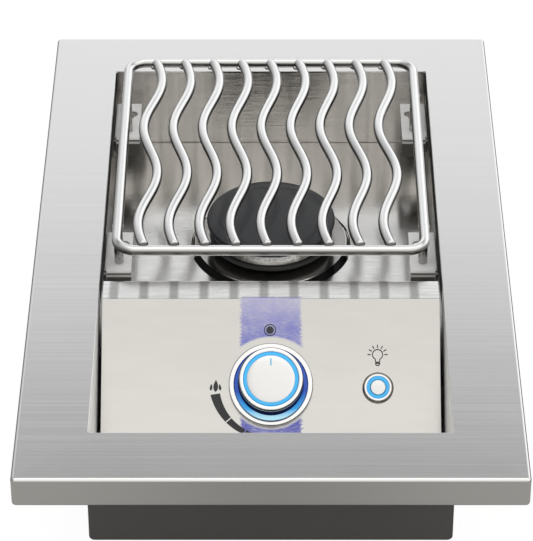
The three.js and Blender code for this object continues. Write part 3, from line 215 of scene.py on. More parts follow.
class SolidTree(Graph):
    """A Geometry Nodes tree with named sizes, which makes one plain mesh."""

    def __init__(self, name: str, **sizes: float) -> None:
        """Adds an input for each size.

        Args:
            name: the tree's name.
            sizes: the inputs' names and values, whole numbers for counts.
        """
        super().__init__(bpy.data.node_groups.new(name, "GeometryNodeTree"))
        self.sizes = sizes
        face = self.tree.interface
        face.new_socket("Geometry", in_out="OUTPUT", socket_type="NodeSocketGeometry")
        for label, size in sizes.items():
            kind = "NodeSocketInt" if isinstance(size, int) else "NodeSocketFloat"
            face.new_socket(label, in_out="INPUT", socket_type=kind)
        self.entry = self.tree.nodes.new("NodeGroupInput")

    def __getitem__(self, label: str) -> Value:
        """One of the tree's inputs."""
        return Value(self, self.entry.outputs[label])

    def triple(self, x: Any = 0.0, y: Any = 0.0, z: Any = 0.0) -> Value:
        """A vector from three numbers or sockets."""
        return self.node("ShaderNodeCombineXYZ", inputs={0: x, 1: y, 2: z})

    def sweep(self, path: Value, radius: Any, sides: int, caps: bool = False, scale: Any = 1.0) -> Value:
        """A round rod along a curve, thinner where the scale is under one."""
        inputs = {"Resolution": sides, "Radius": radius}
        section = self.node("GeometryNodeCurvePrimitiveCircle", {"mode": "RADIUS"}, inputs)
        inputs = {"Curve": path, "Profile Curve": section, "Fill Caps": caps, "Scale": scale}
        return self.node("GeometryNodeCurveToMesh", inputs=inputs)

    def moved(self, part: Value, **how: Any) -> Value:
        """A geometry moved, turned or scaled; how names the Transform node's inputs."""
        return self.node("GeometryNodeTransform", inputs={0: part, **how})

    def line(self, start: Point, end: Point) -> Value:
        """A straight curve."""
        return self.node("GeometryNodeCurvePrimitiveLine", inputs={"Start": start, "End": end})

    def seats(self, count: Value, start: Any = (0.0, 0.0, 0.0), offset: Any = (0.0, 0.0, 0.0)) -> Value:
        """A row of points."""
        inputs = {"Count": count, "Start Location": start, "Offset": offset}
        return self.node("GeometryNodeMeshLine", {"mode": "OFFSET"}, inputs)

    def copies(self, points: Value, part: Value, turn: Any = 0.0) -> Value:
        """One instance of a part on each point, turned about Z."""
        inputs = {"Points": points, "Instance": part, "Rotation": self.triple(z=turn)}
        return self.node("GeometryNodeInstanceOnPoints", inputs=inputs)

    def fan(self, count: Value, size: Value, reach: Value, turn: Value) -> Value:
        """Bars of one size that point away from the Z axis, each with its own turn, as one mesh."""
        bar = self.node("GeometryNodeMeshCube", inputs={"Size": size})
        bars = self.copies(self.seats(count), self.moved(bar, Translation=self.triple(reach)), turn)
        return self.realized(bars)

    def realized(self, part: Value) -> Value:
        """Instances turned into mesh."""
        return self.node("GeometryNodeRealizeInstances", inputs={0: part})

    def join(self, *parts: Value) -> Value:
        """Joins geometries into one."""
        made = self.tree.nodes.new("GeometryNodeJoinGeometry")
        for part in parts:
            self.tree.links.new(part.socket, made.inputs[0])
        return Value(self, made.outputs[0])

    def build(self, name: str, result: Value, material: bpy.types.Material, smooth: float = 40.0) -> Piece:
        """Runs the tree and keeps its result as a plain mesh.

        Args:
            name: the new piece's name.
            result: the geometry to end with.
            material: what the piece is made of.
            smooth: the angle in degrees above which an edge stays sharp.

        Returns:
            The piece.
        """
        inputs = {0: self.realized(result), "Material": material}
        dressed = self.node("GeometryNodeSetMaterial", inputs=inputs)
        ending = self.tree.nodes.new("NodeGroupOutput")
        self.tree.links.new(dressed.socket, ending.inputs[0])
        carrier = linked(name + "_carrier", bpy.data.meshes.new(name))
        modifier = carrier.modifiers.new("Build", "NODES")
        modifier.node_group = self.tree
        for item in self.tree.interface.items_tree:
            if item.in_out == "INPUT":
                modifier[item.identifier] = self.sizes[item.name]
        mesh = evaluated(carrier)
        bpy.data.objects.remove(carrier)
        return finished(name, mesh, smooth)


# ---------------------------------------------------------------- finishes


class Grain(Enum):
    """Which way the fine lines of a finish run."""

    ALONG_X = "x"
    ALONG_Y = "y"
    ROUND = "round"
    EVEN = "even"


AXES = {Grain.ALONG_X: (1.0, 0.0, 0.0), Grain.ALONG_Y: (0.0, 1.0, 0.0)}


@dataclass(frozen=True)
class Finish:
    """How a surface looks: colour, gloss, grain, texture and wear, at their real sizes.

    smear is the slope that the fine lines give the surface across themselves. relief is the depth of an
    even texture. mottle is the share by which the colour varies from patch to patch, and drawn is how far
    the patches are drawn out each way. upright_shade is painted shade on upright faces, and worn the colour
    of rubbed edges.
    """

    name: str
    colour: Colour
    roughness: float
    metallic: float = 1.0
    grain: Grain = Grain.EVEN
    line_width: float = 0.00014
    line_length: float = 0.03
    smear: float = 0.0
    relief: float = 0.0
    relief_size: float = 0.001
    mottle: float = 0.04
    patch: float = 0.03
    drawn: Point = (1.0, 1.0, 1.0)
    gloss_change: float = 0.04
    upright_shade: Colour | None = None
    upright_shade_turn: Point = (0.15, 0.65)
    worn: Colour | None = None
    worn_width: float = 0.0006
    coat: float = 0.0
    glow: float = 0.0

    def material(self) -> bpy.types.Material:
        """Makes the material once, and returns it."""
        found = bpy.data.materials.get(self.name)
        if found:
            return found
        made = bpy.data.materials.new(self.name)
        graph = Graph.of(made)
        place = graph.node("ShaderNodeTexCoord", output="Object")
        patches = graph.noise(place, [self.patch * part for part in self.drawn], 3.0, 1.0)
        colour = graph.mix(patches, self._shade(1 - self.mottle), self._shade(1 + self.mottle))
        colour = self.tint(graph, place, colour)
        gloss = patches * (2 * self.gloss_change) + (self.roughness - self.gloss_change)
        normal = graph.node("ShaderNodeNewGeometry", output="Normal")
        # Painted shade: faces that stand upright take a darker colour.
        if self.upright_shade:
            level = graph.split(normal)[2].apply("ABSOLUTE")
            colour = graph.mix(level.between(*self.upright_shade_turn), self.upright_shade, colour)
        if self.smear:
            lines, across = self._lines(graph, place, normal)
            slope = (lines - 0.5) * (2 * self.smear)
            lean = graph.vector("SCALE", across, slope)
            normal = graph.vector("NORMALIZE", graph.vector("ADD", normal, lean))
            gloss = gloss + (lines - 0.5) * self.gloss_change
        if self.relief:
            height = graph.noise(place, self.relief_size, 4.0, 2.0)
            inputs = {"Height": height, "Distance": self.relief, "Normal": normal}
            normal = graph.node("ShaderNodeBump", {}, inputs)
        if self.worn:
            edges = self._edges(graph) * patches.between(0.35, 0.65)
            colour = graph.mix(edges, colour, self.worn)
        inputs = {"Base Color": colour, "Roughness": self.gloss(graph, place, gloss)}
        inputs |= {"Metallic": self.metal(graph, place), "Normal": normal}
        inputs |= {"Coat Weight": self.coat, "Coat Roughness": 0.08}
        if self.glow:
            inputs |= {"Emission Color": self.light(graph, place), "Emission Strength": self.glow}
        shader = graph.node("ShaderNodeBsdfPrincipled", {}, inputs)
        graph.node("ShaderNodeOutputMaterial", {}, {"Surface": shader})
        return made

    def tint(self, graph: Graph, place: Value, colour: Value) -> Value:
        """A place for a finish of its own to change the colour over the surface."""
        return colour

    def gloss(self, graph: Graph, place: Value, gloss: Value) -> Value:
        """A place for a finish of its own to change the roughness over the surface."""
        return gloss

    def metal(self, graph: Graph, place: Value) -> Value | float:
        """A place for a finish of its own to change how metallic the surface is."""
        return self.metallic

    def light(self, graph: Graph, place: Value) -> Value:
        """The colour of a lit finish over the surface."""
        return graph.mix(graph.noise(place, self.patch, 2.0, 3.0), self._shade(0.92), self._shade(1.08))

    def _shade(self, share: float) -> Colour:
        """The finish's colour, lighter or darker."""
        return tuple(min(part * share, 1.0) for part in self.colour)

    def _lines(self, graph: Graph, place: Value, normal: Value) -> tuple[Value, Value]:
        """The fine lines, and the direction across them on the surface."""
        if self.grain is Grain.ROUND:
            turned_place = graph.node("ShaderNodeAttribute", {"attribute_name": "turned"}, output="Vector")
            lines = graph.noise(turned_place, [self.line_width, self.line_width, self.line_length], 2.0)
            along = graph.node("ShaderNodeAttribute", {"attribute_name": "around"}, output="Vector")
        else:
            axis = AXES[self.grain]
            sizes = [self.line_length if part else self.line_width for part in axis]
            lines = graph.noise(place, sizes, 2.0)
            along = graph.vector("ADD", list(axis), [0.0, 0.0, 0.0])
        settings = {"vector_type": "VECTOR", "convert_from": "OBJECT", "convert_to": "WORLD"}
        along = graph.node("ShaderNodeVectorTransform", settings, {0: along})
        return lines, graph.vector("CROSS_PRODUCT", normal, along)

    def _edges(self, graph: Graph) -> Value:
        """1 along sharp edges and 0 on faces."""
        soft = graph.node("ShaderNodeBevel", {"samples": 4}, {"Radius": self.worn_width})
        plain = graph.node("ShaderNodeNewGeometry", output="Normal")
        return (1.0 - graph.vector("DOT_PRODUCT", soft, plain)).between(0.01, 0.12)

    def dress(self, *pieces: Piece) -> None:
        """Gives the finish to pieces or CAD nodes."""
        for piece in pieces:
            if piece.data.materials:
                piece.data.materials[0] = self.material()
            else:
                piece.data.materials.append(self.material())


@dataclass(frozen=True)
class CentredFinish(Finish):
    """A finish that is drawn about a control's centre on the panel."""

    centre: Point = (0.0, 0.0, 0.0)

    def along(self, graph: Graph, place: Value, way: Point) -> Value:
        """How far a place lies from the centre along one way."""
        return graph.vector("DOT_PRODUCT", self.away(graph, place), way)

    def away(self, graph: Graph, place: Value) -> Value:
        """The way from the centre to a place."""
        return graph.vector("SUBTRACT", place, list(self.centre))


@dataclass(frozen=True)
class LitPanelFinish(CentredFinish):
    """Brushed sheet with painted light: a violet glint of the knob's ring above and under it, painted
    reflections of the rods on the ledge, and painted shade at the crease and towards it.
    """

    # pale, deep and lower_deep are colours of the painted glint, the knob ring's violet light painted onto
    # the sheet.
    pale: Colour = (0.4, 0.395, 0.6)
    deep: Colour = (0.15, 0.16, 0.52)
    lower_deep: Colour = (0.09, 0.1, 0.42)
    half_width: float = 0.0222
    upper_inner: float = 0.0362
    lower_inner: float = 0.032
    lower_end: Point = (0.036, 0.046)
    face_depth: float = 0.001
    crease: float = -KNOB_DOWN
    fold: float = -0.0782
    # The pitch and shift of the painted reflections of the rods on the ledge.
    stripe_pitch: float = 0.0222
    stripe_shift: float = 0.0051

    def tint(self, graph: Graph, place: Value, colour: Value) -> Value:
        """Paints two bands of the glint over the brushed colour, the rods' reflections on the ledge, and
        shade at the crease and towards it.
        """
        away = self.away(graph, place)
        side = graph.split(away)[0].apply("ABSOLUTE")
        slope = self.along(graph, place, DOWN_PANEL)
        height = self.along(graph, place, OUT_OF_PANEL).apply("ABSOLUTE")
        streaks = graph.noise(place, [0.0035, 0.0006, 0.0006], 3.0, 5.0)
        clouds = graph.noise(place, [0.016, 0.01, 0.01], 2.0, 6.0)
        shaky = side + (streaks - 0.5) * 0.01
        band = shaky.between(self.half_width - 0.0012, self.half_width + 0.0009, 1.0, 0.0)
        lower = slope.between(-0.001, 0.001)
        inner = lower * (self.lower_inner - self.upper_inner) + self.upper_inner
        outside = (graph.vector("LENGTH", away) - inner).between(-0.001, 0.0015)
        on_face = height.between(self.face_depth, 2 * self.face_depth, 1.0, 0.0)
        # Painted reflection: the rods show as darker bands across the ledge.
        painted_rod_reflections = (graph.split(place)[0] + self.stripe_shift).apply("PINGPONG", self.stripe_pitch / 2)
        painted_rod_reflections = graph.mix(painted_rod_reflections.between(0.0018, 0.0048), (0.54, 0.537, 0.53), (1.0, 0.998, 0.99))
        # Painted shade: the slope is up to 7 % darker towards its upper crease.
        colour = graph.mix(slope.between(self.crease, 0.03, 0.07, 0.0), colour, (0.0, 0.0, 0.0))
        behind = graph.split(place)[1].between(self.fold - 0.0004, self.fold + 0.0004)
        colour = graph.mix(behind, colour, painted_rod_reflections)
        # Painted shade: a dark line along the crease between the ledge and the slope.
        crease = slope.between(self.crease - 0.0008, self.crease)
        crease = crease * slope.between(self.crease, self.crease + 0.0008, 1.0, 0.0)
        colour = graph.mix(crease * on_face * 0.6, colour, (0.12, 0.12, 0.12))
        # Painted reflection: the knob ring's violet light in two cloudy bands, above and under the knob.
        strength = band * outside * on_face * (streaks * 1.1 + clouds * 0.9 - 0.2)
        strength = strength * slope.between(*self.lower_end, 1.0, 0.0)
        near = slope.apply("ABSOLUTE").between(self.upper_inner, self.upper_inner + 0.028, 0.9, 0.0)
        glint = graph.mix(near * (clouds * 0.6 + 0.6), self.pale, self.deep)
        glint = graph.mix(lower, glint, self.lower_deep)
        return graph.mix(strength.apply("MINIMUM", 0.94), colour, glint)


@dataclass(frozen=True)
class TrimFinish(Finish):
    """Brushed steel with a painted dark reflection as a line along the outer fold at the sides and the back.
    """

    half_x: float = 0.1778
    back_y: float = 0.284
    line: float = 0.0009
    # The colour of the painted reflection line.
    dark: Colour = (0.3, 0.3, 0.3)

    def tint(self, graph: Graph, place: Value, colour: Value) -> Value:
        """Draws the line of painted reflection."""
        x, y, z = graph.split(place)
        out = (x.apply("ABSOLUTE") - self.half_x).apply("MAXIMUM", y - self.back_y)
        line = out.between(-self.line * 1.3, -self.line * 0.9) * z.between(TOP - 0.0025, TOP - 0.002)
        return graph.mix(line, colour, self.dark)


@dataclass(frozen=True)
class SideLinerFinish(Finish):
    """Brushed wall with painted light beside the panel, and painted shade towards the rear and along its top
    rim.
    """

    # Painted light: the wall's front beside the panel is near white.
    painted_front_light: Colour = (0.95, 0.945, 0.93)
    # The near black of the painted shade.
    dark: Colour = (0.012, 0.012, 0.011)
    behind: Point = (-0.064, -0.056)
    rear: float = 0.16
    rim: Point = (0.076, 0.078)

    def tint(self, graph: Graph, place: Value, colour: Value) -> Value:
        """Paints light on the wall's front, and shade on its rear upper part and its rim."""
        _, y, z = graph.split(place)
        behind = y.between(*self.behind)
        colour = graph.mix(behind, self.painted_front_light, colour)
        shade = y.between(self.rear, self.rear + 0.05) * z.between(0.04, 0.07, 0.0, 0.4)
        shade = shade.apply("MAXIMUM", z.between(*self.rim)) * behind
        return graph.mix(shade, colour, self.dark)

    def metal(self, graph: Graph, place: Value) -> Value:
        """The front of painted light shines softly, the rim of painted shade not at all, and the rest like
        bare metal.
        """
        _, y, z = graph.split(place)
        return y.between(*self.behind, 0.15, self.metallic) * z.between(*self.rim, 1.0, 0.0)

    def gloss(self, graph: Graph, place: Value, gloss: Value) -> Value:
        """The rim of painted shade is rough behind the panel."""
        _, y, z = graph.split(place)
        return gloss + z.between(*self.rim) * y.between(*self.behind, 0.0, 0.75)


@dataclass(frozen=True)
class BossFinish(Finish):
    """Bright pan steel, with the dark reflection of the bowl on the boss round it."""

    centre: Point = (0.0, BURNER_Y, 0.0)
    edge: float = 0.06
    dark: Colour = (0.5, 0.49, 0.475)

    def tint(self, graph: Graph, place: Value, colour: Value) -> Value:
        """Darkens the boss inside its shoulder."""
        away = graph.vector("SUBTRACT", place, list(self.centre))
        radius = graph.vector("LENGTH", graph.vector("MULTIPLY", away, (1.0, 1.0, 0.0)))
        return graph.mix(radius.between(self.edge - 0.0012, self.edge), self.dark, colour)


@dataclass(frozen=True)
class BracketFinish(Finish):
    """Bright sheet whose lip shows painted light in bands from its top down: a line of painted shade, a
    painted highlight and a face of painted shade.
    """

    top: float = 0.0
    # bar is the painted highlight on the lip's bend; the next colour is the painted shade.
    bar: Colour = (0.9, 0.89, 0.87)
    lip_shade: Colour = (0.11, 0.1, 0.09)
    steps: tuple[float, float, float] = (0.0009, 0.0022, 0.0044)

    def tint(self, graph: Graph, place: Value, colour: Value) -> Value:
        """Lays the three painted bands under the plate."""
        down = self.top - graph.split(place)[2]
        for step, shade in zip(self.steps, (self.lip_shade, self.bar, self.lip_shade)):
            colour = graph.mix(down.between(step - 0.0002, step + 0.0002), colour, shade)
        return colour


@dataclass(frozen=True)
class HeadFinish(Finish):
    """Turned metal with a painted reflection: bright at the front, and falling off to painted shade at both
    sides.
    """

    # The colour of the painted shade at the ring's sides.
    dark: Colour = (0.2, 0.196, 0.19)
    middle: float = 0.004
    side: float = 0.036

    def tint(self, graph: Graph, place: Value, colour: Value) -> Value:
        """Paints shade on the ring towards its sides, in upright streaks."""
        streaks = graph.noise(place, [0.0022, 0.0022, 0.05], 2.0, 4.0)
        side = graph.split(place)[0].apply("ABSOLUTE") + (streaks - 0.5) * 0.02
        return graph.mix(side.between(self.middle, self.side), colour, self.dark)


@dataclass(frozen=True)
class RoundFinish(CentredFinish):
    """Turned metal with bands of painted shade and painted reflection about the axis of a control on the
    panel.

    rings holds (radius, colour) pairs for what lies farther out, and levels holds (height, colour) pairs
    for what lies lower than that.
    """

    rings: Sequence[tuple[float, Colour]] = ()
    levels: Sequence[tuple[float, Colour]] = ()

    def tint(self, graph: Graph, place: Value, colour: Value) -> Value:
        """Lays the painted bands over the colour."""
        height = self.along(graph, place, OUT_OF_PANEL)
        radius = graph.vector("CROSS_PRODUCT", self.away(graph, place), OUT_OF_PANEL)
        radius = graph.vector("LENGTH", radius)
        for limit, shade in self.rings:
            colour = graph.mix(radius.between(limit - 0.0001, limit + 0.0001), colour, shade)
        for limit, shade in self.levels:
            colour = graph.mix(height.between(limit - 0.0006, limit + 0.0006, 1.0, 0.0), colour, shade)
        return colour


@dataclass(frozen=True)
class RingGlowFinish(CentredFinish):
    """A light ring that glows deep blue at its sides; its bright lower side is a painted reflection of its
    LEDs.
    """

    radius: float = 0.0268
    bright: Colour = (0.55, 0.9, 1.0)
    middle: Colour = (0.05, 0.42, 0.85)
    deep: Colour = (0.01, 0.06, 0.36)

    def light(self, graph: Graph, place: Value) -> Value:
        """Runs from deep blue over cyan to nearly white towards the lower side, where the brightness is a
        painted reflection of the LEDs.
        """
        slope = self.along(graph, place, DOWN_PANEL) / self.radius
        wander = graph.noise(place, 0.004, 2.0, 4.0) * 0.16 - 0.08
        stops = [(0.0, self.deep), (0.6, self.deep), (0.84, self.middle), (0.95, self.bright)]
        share = (slope + wander) * 0.5 + 0.5
        return graph.node("ShaderNodeValToRGB", {"stops": stops}, {0: share}, "Color")


TRIM_STEEL = TrimFinish(
    "brushed_trim_steel", (0.81, 0.81, 0.805), 0.15, grain=Grain.ALONG_X, line_width=0.00015,
    line_length=0.25, smear=0.035, mottle=0.008, patch=0.06, gloss_change=0.02,
)
# Partly random tone and partly painted reflection: the strong patches are drawn out upright into streaks that
# stand in for the rods' reflections.
LINER_STEEL = Finish(
    "brushed_liner_steel", (0.55, 0.53, 0.5), 0.18, grain=Grain.ALONG_X, line_width=0.00006, smear=0.7,
    mottle=0.34, drawn=(0.22, 1.0, 12.0),
)
SIDE_STEEL = SideLinerFinish(
    "brushed_side_steel", (0.4, 0.39, 0.375), 0.22, grain=Grain.ALONG_Y, smear=0.3, mottle=0.2,
    drawn=(1.0, 0.4, 9.0),
)
PAN_STEEL = BossFinish(
    "bright_pan_steel", (0.97, 0.96, 0.94), 0.12, grain=Grain.ALONG_X, line_width=0.00006, smear=0.2,
    mottle=0.12, drawn=(0.3, 6.0, 1.0),
)
# The rods' steel carries painted shade on its upright faces.
ROD_STEEL = Finish(
    "drawn_rod_steel", (0.9, 0.9, 0.9), 0.17, relief=0.00003, relief_size=0.0008, mottle=0.03,
    upright_shade=(0.15, 0.143, 0.135), upright_shade_turn=(0.1, 1.0),
)
LEG_STEEL = Finish(
    "drawn_leg_steel", (0.45, 0.44, 0.43), 0.24, relief=0.00003, relief_size=0.0008, mottle=0.05, patch=0.004,
)
COATED_STEEL = Finish(
    "dark_casing_coat", (0.125, 0.124, 0.121), 0.55, 0.0, relief=0.00006, relief_size=0.0009, mottle=0.06,
    patch=0.06, worn=(0.16, 0.16, 0.158),
)
CAP_ENAMEL = Finish(
    "dark_cap_enamel", (0.021, 0.023, 0.027), 0.4, 0.0, relief=0.00005, relief_size=0.0007, mottle=0.12,
    patch=0.02, gloss_change=0.06, worn=(0.07, 0.07, 0.072), worn_width=0.0006, coat=0.25,
)
BOWL_ENAMEL = Finish(
    "dark_bowl_enamel", (0.05, 0.05, 0.051), 0.42, 0.0, relief=0.00006, relief_size=0.0008, mottle=0.15,
    patch=0.015, worn=(0.06, 0.06, 0.06),
)
CAST_METAL = Finish(
    "cast_burner_metal", (0.56, 0.555, 0.54), 0.38, relief=0.00012, relief_size=0.0012, mottle=0.1,
    patch=0.012,
)
TURNED_METAL = HeadFinish(
    "turned_burner_metal", (0.78, 0.77, 0.75), 0.18, grain=Grain.ROUND, smear=0.12, mottle=0.03, patch=0.014,
)
PLAIN_TUBE = Finish("plain_tube_metal", (0.7, 0.7, 0.7), 0.32, relief=0.00002, mottle=0.05)
BRASS = Finish(
    "machined_brass", (0.62, 0.42, 0.16), 0.3, relief=0.00002, relief_size=0.0005, mottle=0.08, patch=0.01,
    worn=(0.78, 0.6, 0.3),
)
HARDWARE = Finish("plain_hardware_steel", (0.6, 0.6, 0.59), 0.3, relief=0.00002, mottle=0.05, patch=0.01)
CHROME = Finish("bright_knob_chrome", (0.93, 0.935, 0.94), 0.06, mottle=0.01, patch=0.01, gloss_change=0.03)
SATIN = Finish(
    "satin_knob_face", (0.83, 0.833, 0.836), 0.3, grain=Grain.ROUND, smear=0.06, mottle=0.012, patch=0.01,
)
CYAN_RING = Finish("cyan_light_ring", (0.045, 0.38, 0.72), 0.3, 0.0, patch=0.006, glow=0.46)
BOARD = Finish(
    "green_circuit_board", (0.01, 0.09, 0.04), 0.45, 0.0, relief=0.00003, mottle=0.15, patch=0.004, coat=0.3,
)
PLASTIC = Finish(
    "black_moulded_plastic", (0.012, 0.012, 0.012), 0.42, 0.0, relief=0.00003, relief_size=0.0006, mottle=0.1,
    worn=(0.04, 0.04, 0.04),
)
CERAMIC = Finish(
    "glazed_ceramic", (0.82, 0.79, 0.73), 0.25, 0.0, relief=0.00002, mottle=0.04, patch=0.006, coat=0.5,
)
RED_SLEEVE = Finish(
    "red_silicone_sleeve", (0.3, 0.03, 0.022), 0.5, 0.0, relief=0.00003, mottle=0.08, patch=0.01,
)
BLACK_SLEEVE = Finish(
    "black_wire_sleeve", (0.01, 0.01, 0.01), 0.5, 0.0, relief=0.00003, mottle=0.1, patch=0.01,
)
PRINT = Finish(
    "dark_panel_print", (0.028, 0.028, 0.03), 0.4, 0.0, relief=0.00001, relief_size=0.0004, mottle=0.12,
    patch=0.004,
)
FACE_PRINT = Finish(
    "blue_face_print", (0.22, 0.62, 0.88), 0.35, 0.0, relief=0.00001, relief_size=0.0004, mottle=0.06,
    patch=0.004,
)


# ---------------------------------------------------------------- mesh helpers


def linked(name: str, data: bpy.types.ID) -> Piece:
    """A new object in the scene, for a mesh, a lamp or a camera."""
    made = bpy.data.objects.new(name, data)
    bpy.context.scene.collection.objects.link(made)
    return made


def evaluated(piece: Piece) -> bpy.types.Mesh:
    """A new mesh like the piece with its modifiers."""
    depsgraph = bpy.context.evaluated_depsgraph_get()
    return bpy.data.meshes.new_from_object(piece.evaluated_get(depsgraph))


def skinned(name: str, skin: bmesh.types.BMesh) -> bpy.types.Mesh:
    """A new mesh of a skin, which is freed."""
    mesh = bpy.data.meshes.new(name)
    skin.to_mesh(mesh)
    skin.free()
    return mesh


def finished(name: str, mesh: bpy.types.Mesh, smooth: float = 40.0) -> Piece:
    """Makes an object of a final mesh, smooth except at its sharp edges.

    Args:
        name: the piece's name.
        mesh: its mesh, in the row frame.
        smooth: the angle in degrees above which an edge stays sharp.

    Returns:
        The piece, at the origin.
    """
    mesh.name = name
    mesh.shade_smooth()
    mesh.set_sharp_from_angle(angle=math.radians(smooth))
    return linked(name, mesh)


def applied(piece: Piece) -> Piece:
    """Turns a piece's modifiers into plain mesh and shades the result."""
    mesh, name = evaluated(piece), piece.name
    bpy.data.objects.remove(piece)
    return finished(name, mesh)


def even_shading(piece: Piece) -> Piece:
    """Keeps large flat faces flat next to small bends."""
    piece.modifiers.new("Shading", "WEIGHTED_NORMAL").keep_sharp = True
    mesh = evaluated(piece)
    piece.modifiers.clear()
    piece.data = mesh
    return piece


def rounded(
    points: Sequence[Point], radii: Sequence[float], closed: bool = False, steps: int = 5
) -> list[Vector]:
    """Rounds the corners of a line.

    Args:
        points: the line's corners, in two dimensions.
        radii: one radius for each corner; the ends of an open line have none.
        closed: whether the line is a loop.
        steps: the pieces that each round corner has.

    Returns:
        The line's points.
    """
    corners = [Vector(point) for point in points]
    count = len(corners)
    line: list[Vector] = [] if closed else [corners[0]]
    for i in range(count) if closed else range(1, count - 1):
        radius = radii[i] if closed else radii[i - 1]
        corner = corners[i]
        before = (corners[i - 1] - corner).normalized()
        after = (corners[(i + 1) % count] - corner).normalized()
        half = math.acos(max(-1.0, min(1.0, before.dot(after)))) / 2
        if radius <= 0 or half > math.radians(89.9):
            line.append(corner)
            continue
        centre = corner + (before + after).normalized() * (radius / math.sin(half))
        first = corner + before * (radius / math.tan(half)) - centre
        last = corner + after * (radius / math.tan(half)) - centre
        sweep = math.pi - 2 * half
        for step in range(steps + 1):
            share = step / steps
            a = math.sin((1 - share) * sweep) / math.sin(sweep)
            b = math.sin(share * sweep) / math.sin(sweep)
            line.append(centre + first * a + last * b)
    if not closed:
        line.append(corners[-1])
    return line


def arc(radius: float, start: float, end: float, steps: int, centre: Point = (0.0, 0.0)) -> list[Vector]:
    """The points of an arc in two dimensions, angles in radians."""
    x, y = centre
    angles = [start + (end - start) * i / steps for i in range(steps + 1)]
    return [Vector((x + radius * math.cos(a), y + radius * math.sin(a))) for a in angles]


def circle(radius: float, sides: int, centre: Point = (0.0, 0.0)) -> list[Vector]:
    """The points of a circle in two dimensions."""
    return arc(radius, 0.0, 2 * math.pi, sides, centre)[:-1]


def rectangle(left: float, low: float, right: float, high: float) -> list[Vector]:
    """The corners of a rectangle, anticlockwise from its lower left."""
    return [Vector(corner) for corner in ((left, low), (right, low), (right, high), (left, high))]


def rounded_loop(half_x: float, half_y: float, radius: float, z: float, steps: int = 6) -> list[Vector]:
    """A rounded rectangle about the Z axis, at one height."""
    corners = [(half_x, half_y), (-half_x, half_y), (-half_x, -half_y), (half_x, -half_y)]
    flat = rounded(corners, [radius] * 4, closed=True, steps=steps)
    return [Vector((point.x, point.y, z)) for point in flat]


def loft(name: str, loops: Sequence[Sequence[Vector]], around: bool = False) -> Piece:
    """A skin over loops that have the same number of points.

    Args:
        name: the piece's name.
        loops: the loops, in order; where around is False the first and last are filled.
        around: whether the last loop joins the first.

    Returns:
        The piece.
    """
    count = len(loops[0])
    skin = bmesh.new()
    rings = [[skin.verts.new(point) for point in loop] for loop in loops]
    pairs = list(zip(rings, rings[1:])) + ([(rings[-1], rings[0])] if around else [])
    for lower, upper in pairs:
        for i in range(count):
            j = (i + 1) % count
            skin.faces.new((lower[i], lower[j], upper[j], upper[i]))
    if not around:
        skin.faces.new(list(reversed(rings[0])))
        skin.faces.new(rings[-1])
    bmesh.ops.recalc_face_normals(skin, faces=skin.faces)
    return finished(name, skinned(name, skin))


def turned(
    name: str,
    corners: Sequence[Point],
    radii: Sequence[float],
    place: Matrix,
    sides: int = 96,
    steps: int = 4,
    smooth: float = 40.0,
) -> Piece:
    """A turned piece that also carries its own round coordinates.

    Args:
        name: the piece's name.
        corners: its outline as (radius, height); it starts and ends on the axis, or is a loop.
        radii: the radii that round the corners, or none for an outline that stays as it is.
        place: where the piece's own axis and zero go.
        sides: the sides of each circle.
        steps: the pieces that each round corner has.
        smooth: the angle in degrees above which an edge stays sharp.

    Returns:
        The piece, with attributes "around" (the way round) and "turned" (radius, height, arc length).
    """
    closed = corners[0][0] > ON_AXIS
    outline = rounded(corners, radii, closed, steps) if radii else corners
    skin = bmesh.new()
    around, rounds, rings = [], [], []
    for radius, height in outline:
        ring = []
        for i in range(sides if radius > ON_AXIS else 1):
            angle = 2 * math.pi * i / sides
            x, y = math.cos(angle), math.sin(angle)
            ring.append(skin.verts.new(place @ Vector((radius * x, radius * y, height))))
            around.append(place.to_3x3() @ Vector((-y, x, 0.0)))
            rounds.append((radius, height, radius * min(angle, 2 * math.pi - angle)))
        rings.append(ring)
    for lower, upper in list(zip(rings, rings[1:])) + ([(rings[-1], rings[0])] if closed else []):
        for i in range(sides):
            corner_places = ((lower, i), (lower, i + 1), (upper, i + 1), (upper, i))
            unique = list(dict.fromkeys(ring[k % len(ring)] for ring, k in corner_places))
            if len(unique) > 2:
                skin.faces.new(unique)
    bmesh.ops.recalc_face_normals(skin, faces=skin.faces)
    mesh = skinned(name, skin)
    for label, values in (("around", around), ("turned", rounds)):
        attribute = mesh.attributes.new(label, "FLOAT_VECTOR", "POINT")
        attribute.data.foreach_set("vector", [part for value in values for part in value])
    return finished(name, mesh, smooth)


def inside(point: Vector, loop: Sequence[Vector]) -> bool:
    """Whether a point lies inside a loop, in two dimensions."""
    found = False
    for a, b in zip(loop, [*loop[1:], loop[0]]):
        if (a.y > point.y) != (b.y > point.y) and point.x < (b.x - a.x) * (point.y - a.y) / (b.y - a.y) + a.x:
            found = not found
    return found


